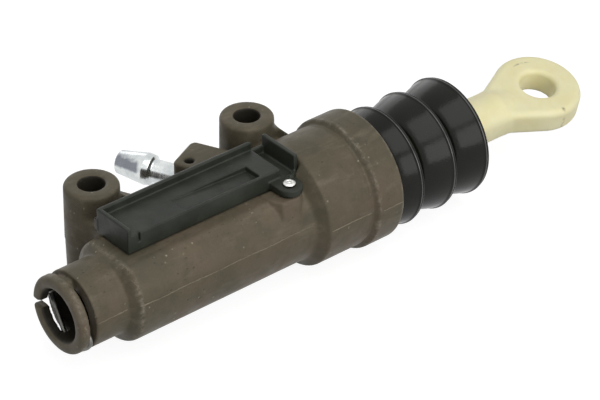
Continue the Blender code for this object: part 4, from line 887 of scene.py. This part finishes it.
def painted_nipple_reflections(f, colour):
    """Painted reflections in the nipple's colour: a dark band along the barb and a dark line on the shank, and
    painted shade at its shoulder.
    """
    face = Vector(to_row([NIPPLE_FACE])[0])
    along = f.maths("SUBTRACT", f.along(NIPPLE_AXIS), face.dot(NIPPLE_AXIS))
    upright = f.coordinate(2, face.z)
    ragged = f.times(f.maths("SUBTRACT", f.noise(500.0, 4.0, 0.6), 0.5), 0.0016)
    upright = f.plus(upright, ragged)
    # Painted reflection: a dark band along the barb
    band = f.times(f.band(upright, 0.4 * MM, 1.2 * MM), f.band(upright, 4.3 * MM, 3.4 * MM))
    band = f.times(band, f.band(f.plus(along, ragged), 13.2 * MM, 14.2 * MM))
    colour = f.mix(f.times(band, 0.85), colour, (0.14, 0.15, 0.18))
    # Painted shade at the barb's shoulder
    shoulder = f.times(f.near(along, 10.6 * MM, 0.8 * MM), f.band(upright, 1.0 * MM, 0.2 * MM))
    colour = f.mix(f.times(shoulder, 0.1), colour, (0.16, 0.17, 0.17))
    # Painted reflection: a dark line along the shank
    line = f.times(f.near(upright, 0.5 * MM, 0.4 * MM), f.band(along, 9.6 * MM, 9.0 * MM))
    return f.mix(f.times(line, 0.6), colour, (0.16, 0.17, 0.17))


def metal_finish(name, dark, light, low, high, axis, scale, depth, marks=None):
    """Bright metal with fine marks square to an axis, as from turning, rolling or drawing."""
    f = Finish(name, metallic=1.0)
    settings = {"W": f.along(axis), "Scale": scale, "Detail": 3.0}
    grooves = f.node("ShaderNodeTexNoise", {"noise_dimensions": "1D"}, settings)
    clouds = f.noise(260.0, 4.0, 0.6)
    colour = f.mix(f.band(clouds, 0.35, 0.7), dark, light)
    # marks may paint reflections and shade into the colour, as on the nipple
    if marks:
        colour = marks(f, colour)
    roughness = f.band(f.plus(f.times(grooves, 0.5), f.times(clouds, 0.5)), 0.3, 0.7, low, high)
    return f.done(colour, roughness, f.plus(grooves, f.times(clouds, 0.3)), depth)


FINISHES = {
    "phenolic": phenolic_finish(),
    "black_plastic": plastic_finish(
        "tray_finish", (0.021, 0.024, 0.018), (0.036, 0.040, 0.031), 0.34, 0.5, 0.2),
    "cream_plastic": plastic_finish(
        "cream_finish", (0.90, 0.83, 0.48), (0.96, 0.90, 0.58), 0.32, 0.46, 0.4, 0.00002, 0.2, eye_marks),
    "bellows_rubber": rubber_finish(),
    "seal_rubber": plastic_finish("seal_finish", (0.012, 0.012, 0.012), (0.022, 0.022, 0.021), 0.3, 0.5),
    # The nipple's colour carries painted reflections and painted shade
    "zinc_plate": metal_finish(
        "zinc_finish", (0.52, 0.55, 0.56), (0.74, 0.77, 0.76), 0.16, 0.3, NIPPLE_AXIS, 2600.0, 0.00001,
        painted_nipple_reflections),
    "spring_steel": metal_finish(
        "wire_finish", (0.10, 0.098, 0.09), (0.22, 0.215, 0.20), 0.28, 0.5, (0, 0.7, 0.7), 1500.0, 0.00001),
    "rivet_alloy": metal_finish(
        "rivet_finish", (0.66, 0.66, 0.64), (0.86, 0.86, 0.84), 0.26, 0.5, (0.8, 0.6, 0), 1900.0, 0.00004),
    "grey_plastic": plastic_finish("inner_finish", (0.24, 0.24, 0.23), (0.33, 0.33, 0.32), 0.4, 0.55),
    "magnet_ferrite": plastic_finish(
        "magnet_finish", (0.035, 0.035, 0.038), (0.06, 0.06, 0.064), 0.45, 0.65),
}

# Mesh step in millimetres, and what each skin takes of it
STEP = 0.5
HOUSING_STEP = STEP * 1.16
TRAY_STEP = STEP * 0.7
ROD_STEP = STEP * 0.8


def in_chamber(x, y, z):
    """Faces of the housing that lie inside the bore, behind the socket."""
    within = np.hypot(y, z) < SNAP_GROOVE_RADIUS + 0.1
    return within & (x > SOCKET_END + 0.3) & (x < CUFF_START - 0.2)


outer, bore = surface("housing_skin", housing, (-33, -22.5, -21), (86, 34.5, 24), HOUSING_STEP, in_chamber)
finish_piece(outer, "housing", "phenolic", "cylinder_body")
finish_piece(bore, "housing", "phenolic", "cylinder_body")
tray = surface("bracket_skin", bracket, (-9, -14, 13.5), (56.5, 12.5, 23.3), TRAY_STEP)
finish_piece(tray, "housing", "black_plastic", "sensor_bracket")
rod_skin = surface("pushrod_skin", rod, (54, -15.5, -9), (179, 15.5, 9), ROD_STEP)
finish_piece(rod_skin, "pushrod", "cream_plastic", "pushrod")


# Thin flash where the mould parts

FLASH_STEP = 0.6
CLIP_GROOVE_END = CLIP_X + 1.6


def flash_route(start, end, radius, lift, height, side, dice):
    """A ragged line along the parting plane, on one side of a turned form."""
    route = []
    radii = []
    for step in range(int((end - start) / FLASH_STEP) + 1):
        x = start + step * FLASH_STEP
        z = height + 0.10 * math.sin(x * 0.31) + 0.05 * dice.standard_normal()
        route.append((x, side * math.sqrt(radius ** 2 - (z - lift) ** 2), z))
        radii.append(0.15 + 0.05 * abs(dice.standard_normal()))
    return route, radii


dice = np.random.default_rng(7)
routes = [
    flash_route(-12.2, COLLAR_FRONT, BARREL_RADIUS, 0, BARREL_FLASH, -1, dice),
    flash_route(CLIP_GROOVE_END, SPIGOT_END, SPIGOT_RADIUS, 0, SPIGOT_FLASH, -1, dice),
    flash_route(CLIP_GROOVE_END, SPIGOT_END, SPIGOT_RADIUS, 0, SPIGOT_FLASH, 1, dice),
    flash_route(COLLAR_EDGE + 0.6, RING_FRONT - 0.6, COLLAR_RADIUS, COLLAR_LIFT, COLLAR_FLASH, -1, dice),
    flash_route(RING_FRONT + 2.6, COLLAR_END - 0.8, RING_RADIUS, COLLAR_LIFT, COLLAR_FLASH, -1, dice),
]
flash = finish_piece(tubes("parting_flash", routes, 6), "housing", "phenolic", "cylinder_body")
flash.data.materials[0] = plastic_finish(
    "flash_finish", (0.14, 0.122, 0.086), (0.25, 0.22, 0.16), 0.5, 0.65, 0.2)


# Outlet: wire clip and seal ring

def clip_route():
    """Middle of the clip's wire: two legs and a bow round the spigot, as (across, push) points."""
    bow = CLIP_GROOVE_RADIUS + CLIP_WIRE + 0.3
    drop = math.sqrt(bow ** 2 - CLIP_LEG ** 2)
    lean = math.atan2(drop, CLIP_LEG)
    corner = Vector((CLIP_LEG, -drop))
    start = lean + math.radians(12)
    turn = Vector((bow * math.cos(start), -bow * math.sin(start)))
    reach = 1.8
    leg_point = corner + Vector((0, reach))
    arc_point = corner + (turn - corner).normalized() * reach
    right = [Vector((CLIP_LEG, CLIP_LEG_END))]
    for share in np.linspace(0, 1, 9):
        right.append(leg_point.lerp(corner, share).lerp(corner.lerp(arc_point, share), share))
    angles = np.linspace(-start, -math.pi + start, 40)
    middle = [Vector((bow * math.cos(a), bow * math.sin(a))) for a in angles]
    left = [Vector((-p.x, p.y)) for p in reversed(right)]
    return right + middle + left


def clip_point(across, push):
    """A point of the clip's plane in the bore's frame."""
    return (CLIP_X, -across * math.sin(CLIP_TURN) + push * math.cos(CLIP_TURN),
            across * math.cos(CLIP_TURN) + push * math.sin(CLIP_TURN))


wire = tubes("wire_clip", [([clip_point(*p) for p in clip_route()], CLIP_WIRE)], 14)
finish_piece(wire, "wire_clip", "spring_steel", "outlet_wire_clip")
ring = []
for angle in np.linspace(0, math.tau, 21)[:-1]:
    ring.append((SEAL_X + SEAL_SECTION * math.cos(angle),
                 SEAL_RADIUS + SEAL_SECTION * math.sin(angle)))
finish_piece(turned("socket_seal", ring, 72), "housing", "seal_rubber", "outlet_seal_ring")


# Inlet nipple and rivet head

NIPPLE_OUTLINE = rounded([
    (-10.5, 1.3, 0), (-10.5, 3.2, 0.3), (-5.5, 3.2, 0), (-5.5, 2.0, 0), (-2.9, 2.0, 0), (-2.9, 3.2, 0),
    (0.3, 3.2, 0), (0.3, 4.7, 0.35), (1.1, 4.5, 0.3), (1.3, 3.8, 0.3), (9.6, 3.8, 0.7), (10.3, 4.9, 0.4),
    (12.4, 5.25, 2.0), (22.2, 3.75, 0.9), (22.5, 2.9, 0.4), (22.5, 1.7, 0.25), (22.0, 1.3, 0.2),
], 4)
nipple = turned("nipple_skin", NIPPLE_OUTLINE, 96, NIPPLE_FACE, NIPPLE_AXIS)
finish_piece(nipple, "housing", "zinc_plate", "inlet_nipple")
RIVET_OUTLINE = rounded([
    (-6.0, 0, 0), (-6.0, 1.35, 0), (0.3, 1.35, 0), (0.3, 2.0, 0.15), (0.62, 2.0, 0.3), (0.86, 1.5, 0.3),
    (0.9, 1.15, 0.1), (0.78, 1.0, 0.1), (0.8, 0.45, 0.1), (0.95, 0.3, 0.1), (0.95, 0, 0),
], 4)
rivet = turned("rivet_skin", RIVET_OUTLINE, 48, RIVET, (0, 0, 1))
finish_piece(rivet, "housing", "rivet_alloy", "bracket_rivet")


# Bellows: the cuff stays in the collar, the folds go with the rod, and the neck grips the rod

BEAD_BACK = 1.2
RIM_BACK = 0.32


def fold_points(rim_x, start_x, end_x):
    """Outer line of one fold: a dome, a raised bead, a thin groove, a rounded rim and a steep back."""
    reach = rim_x - 1.5 - start_x
    rise = FOLD_RADIUS - 0.25 - VALLEY_RADIUS
    last = math.radians(55)
    points = []
    for step in range(21):
        angle = last * step / 20
        along = (1 - math.cos(angle)) / (1 - math.cos(last))
        points.append((start_x + reach * along, VALLEY_RADIUS + rise * math.sin(angle) / math.sin(last)))
    for turn in np.linspace(0, math.pi, 7)[1:]:
        points.append((rim_x - BEAD_BACK - 0.28 * math.cos(turn), FOLD_RADIUS - 0.25 + 0.25 * math.sin(turn)))
    points.append((rim_x - 0.78, FOLD_RADIUS - 0.6))
    for turn in np.linspace(0, 1, 9):
        angle = math.radians(120) - turn * math.radians(170)
        points.append((rim_x - 0.4 + 0.4 * math.cos(angle), FOLD_RADIUS - 0.55 + 0.4 * math.sin(angle)))
    lip = points[-1]
    for turn in np.linspace(0.15, 1, 7):
        points.append((lip[0] + (end_x - lip[0]) * turn ** 2, lip[1] + (VALLEY_RADIUS - lip[1]) * turn))
    return points


outer_line = []
inner_line = []
beads = []
for index in range(FOLDS):
    rim = FIRST_RIM + index * FOLD_PITCH
    start = rim - FOLD_PITCH + 1.9 if index else FOLD_START
    outer_line += fold_points(rim, start, rim + 1.1)
    inner_line.append((rim - 9.0 if index else start + 0.8, 12.3))
    inner_line += [(rim - 4.6, 17.4), (rim - 1.8, 18.6), (rim - 0.9, 18.2), (rim + 0.2, 12.3)]
    for back, height, size in ((BEAD_BACK, FOLD_RADIUS - 0.16, 0.26), (RIM_BACK, FOLD_RADIUS - 0.38, 0.22)):
        circle = []
        for angle in np.linspace(0, math.tau, 181):
            circle.append((rim - back, height * math.cos(angle), height * math.sin(angle)))
        beads.append((circle, size))
folds = turned("bellows_folds", outer_line + inner_line[::-1], 180)
finish_piece(folds, "pushrod", "bellows_rubber", "bellows")
bead_rings = finish_piece(tubes("bellows_beads", beads, 8), "pushrod", "bellows_rubber", "bellows")
bead_rings.data.materials[0] = rubber_finish("bead_finish", 0.9, 0.12, 0.2)
for piece in (folds, bead_rings):
    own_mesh(piece)
cuff_line = rounded([
    (77.2, 15.6, 0), (77.2, 18.0, 0.3), (80.0, 18.0, 0), (80.0, 18.8, 0.3), (81.6, 18.8, 0.3),
    (81.6, 18.0, 0), (84.4, 18.0, 0.8), (85.5, 16.6, 0.5), (COLLAR_END, 13.4, 0.2), (COLLAR_END, 12.3, 0),
    (84.1, 15.6, 0.4),
], 3)
finish_piece(turned("bellows_cuff", cuff_line, 120), "housing", "bellows_rubber", "bellows")
neck_line = rounded([
    (NECK_X - 0.6, 7.8, 0), (NECK_X - 0.6, 12.9, 0.3), (NECK_X + 0.2, 12.9, 0.3), (NECK_X + 0.9, 9.2, 0.6),
    (NECK_X + 3.0, 9.0, 0.4), (NECK_X + 3.5, 9.5, 0.3), (NECK_END - 0.3, 9.5, 0.4), (NECK_END, 9.0, 0.2),
    (NECK_END, 7.8, 0), (NECK_X + 3.6, 7.8, 0), (NECK_X + 3.6, 7.2, 0), (NECK_X + 1.6, 7.2, 0),
    (NECK_X + 1.6, 7.8, 0),
], 3)
finish_piece(turned("bellows_neck", neck_line, 120), "pushrod", "bellows_rubber", "bellows")


# Return spring, hung on the housing

SPRING_TURNS = 9
SPRING_RADIUS = 4.5
SPRING_WIRE = 0.6
END_RISE = 1.5
TURN_STEPS = 28
spring_low, spring_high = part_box("return_spring")
start = spring_low.x / MM + SPRING_WIRE
end = spring_high.x / MM - SPRING_WIRE
coils = []
for step in range(SPRING_TURNS * TURN_STEPS + 1):
    turn = step / TURN_STEPS
    closed = min(turn, 1) + max(turn - SPRING_TURNS + 1, 0)
    open_share = min(max(turn - 1, 0), SPRING_TURNS - 2) / (SPRING_TURNS - 2)
    x = start + END_RISE * closed + (end - start - 2 * END_RISE) * open_share
    coils.append((x, SPRING_RADIUS * math.cos(math.tau * turn), SPRING_RADIUS * math.sin(math.tau * turn)))
spring = tubes("spring_skin", [(coils, SPRING_WIRE)], 10)
finish_piece(spring, "housing", "spring_steel", "return_spring")
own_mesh(spring)


# The CAD nodes that stay take their slots' materials
SLOTS = {entry["node"]: entry["material_slot"] for entry in frame["record"]["subparts"]}
for name, node in frame["nodes"].items():
    if node.data:
        node.data.materials.clear()
        node.data.materials.append(FINISHES[SLOTS[name]])
        for face in node.data.polygons:
            face.material_index = 0


def camera():
    """The photograph's camera."""
    data = bpy.data.cameras.new("camera")
    data.lens = LENS
    data.sensor_width = 36
    data.clip_start = 0.01
    data.clip_end = 20
    made = placed("camera", data)
    a, e = VIEW_TURN, VIEW_RISE
    back = Vector((math.sin(a) * math.cos(e), -math.cos(a) * math.cos(e), math.sin(e)))
    level = (-back).cross(Vector((0, 0, 1))).normalized()
    upright = level.cross(-back)
    right = level * math.cos(VIEW_ROLL) + upright * math.sin(VIEW_ROLL)
    up = upright * math.cos(VIEW_ROLL) - level * math.sin(VIEW_ROLL)
    place = back * VIEW_DISTANCE + right * VIEW_SHIFT.x + up * VIEW_SHIFT.y
    place = Vector((place.x * MM, place.y * MM + AXIS_Y, place.z * MM + AXIS_Z))
    turn = Matrix((right, up, back)).transposed().to_4x4()
    made.matrix_world = Matrix.Translation(place) @ turn
    bpy.context.scene.camera = made


def soft_light(name, direction, distance, size, power):
    """A flat white lamp that faces the middle of the part."""
    data = bpy.data.lights.new(name, "AREA")
    data.shape = "RECTANGLE"
    data.size, data.size_y = size
    data.energy = power
    made = placed(name, data)
    way = Vector(direction).normalized()
    made.location = way * distance + Vector((0.06, AXIS_Y, AXIS_Z))
    made.rotation_mode = "QUATERNION"
    made.rotation_quaternion = way.to_track_quat("Z", "Y")


def shown_white(tree, plain, white):
    """A strength that is white where the camera or a reflection sees it, and plain elsewhere."""
    path = tree.nodes.new("ShaderNodeLightPath")
    seen = path.outputs["Is Camera Ray"]
    for ray in ("Is Glossy Ray", "Is Transmission Ray"):
        either = tree.nodes.new("ShaderNodeMath")
        either.operation = "MAXIMUM"
        tree.links.new(seen, either.inputs[0])
        tree.links.new(path.outputs[ray], either.inputs[1])
        seen = either.outputs[0]
    level = tree.nodes.new("ShaderNodeMapRange")
    tree.links.new(seen, level.inputs["Value"])
    level.inputs["To Min"].default_value = plain
    level.inputs["To Max"].default_value = white
    return level.outputs[0]


def studio():
    """Pale floor, white surroundings and soft lamps."""
    world = bpy.data.worlds.new("studio")
    bpy.context.scene.world = world
    world.use_nodes = True
    tree = world.node_tree
    background = tree.nodes["Background"]
    background.inputs["Color"].default_value = (1, 1, 1, 1)
    tree.links.new(shown_white(tree, 0.19, 1.0), background.inputs["Strength"])
    mesh = bpy.data.meshes.new("floor")
    height = AXIS_Z + (COLLAR_LIFT - RING_RADIUS - 0.05) * MM
    corners = [(-3, -3, height), (3, -3, height), (3, 3, height), (-3, 3, height)]
    mesh.from_pydata(corners, [], [(0, 1, 2, 3)])
    floor = placed("floor", mesh)
    paper = bpy.data.materials.new("floor_paper")
    paper.use_nodes = True
    tree = paper.node_tree
    shader = tree.nodes["Principled BSDF"]
    shader.inputs["Base Color"].default_value = (0.3, 0.3, 0.3, 1)
    shader.inputs["Roughness"].default_value = 0.9
    shader.inputs["Specular IOR Level"].default_value = 0.1
    shader.inputs["Emission Color"].default_value = (1, 1, 1, 1)
    tree.links.new(shown_white(tree, 0.0, 0.88), shader.inputs["Emission Strength"])
    mesh.materials.append(paper)
    soft_light("softbox_top", (-0.05, -0.33, 0.94), 0.9, (0.8, 0.8), 3.6)
    soft_light("softbox_front", (0.05, -0.93, 0.38), 1.6, (1.6, 1.0), 12.0)
    soft_light("softbox_left", (-1.0, -0.2, 0.6), 1.2, (0.5, 0.6), 0.35)
    soft_light("softbox_back", (0.1, 0.93, 0.30), 1.6, (1.4, 0.9), 4.0)


camera()
studio()
bpy.context.scene.view_settings.view_transform = "Standard"
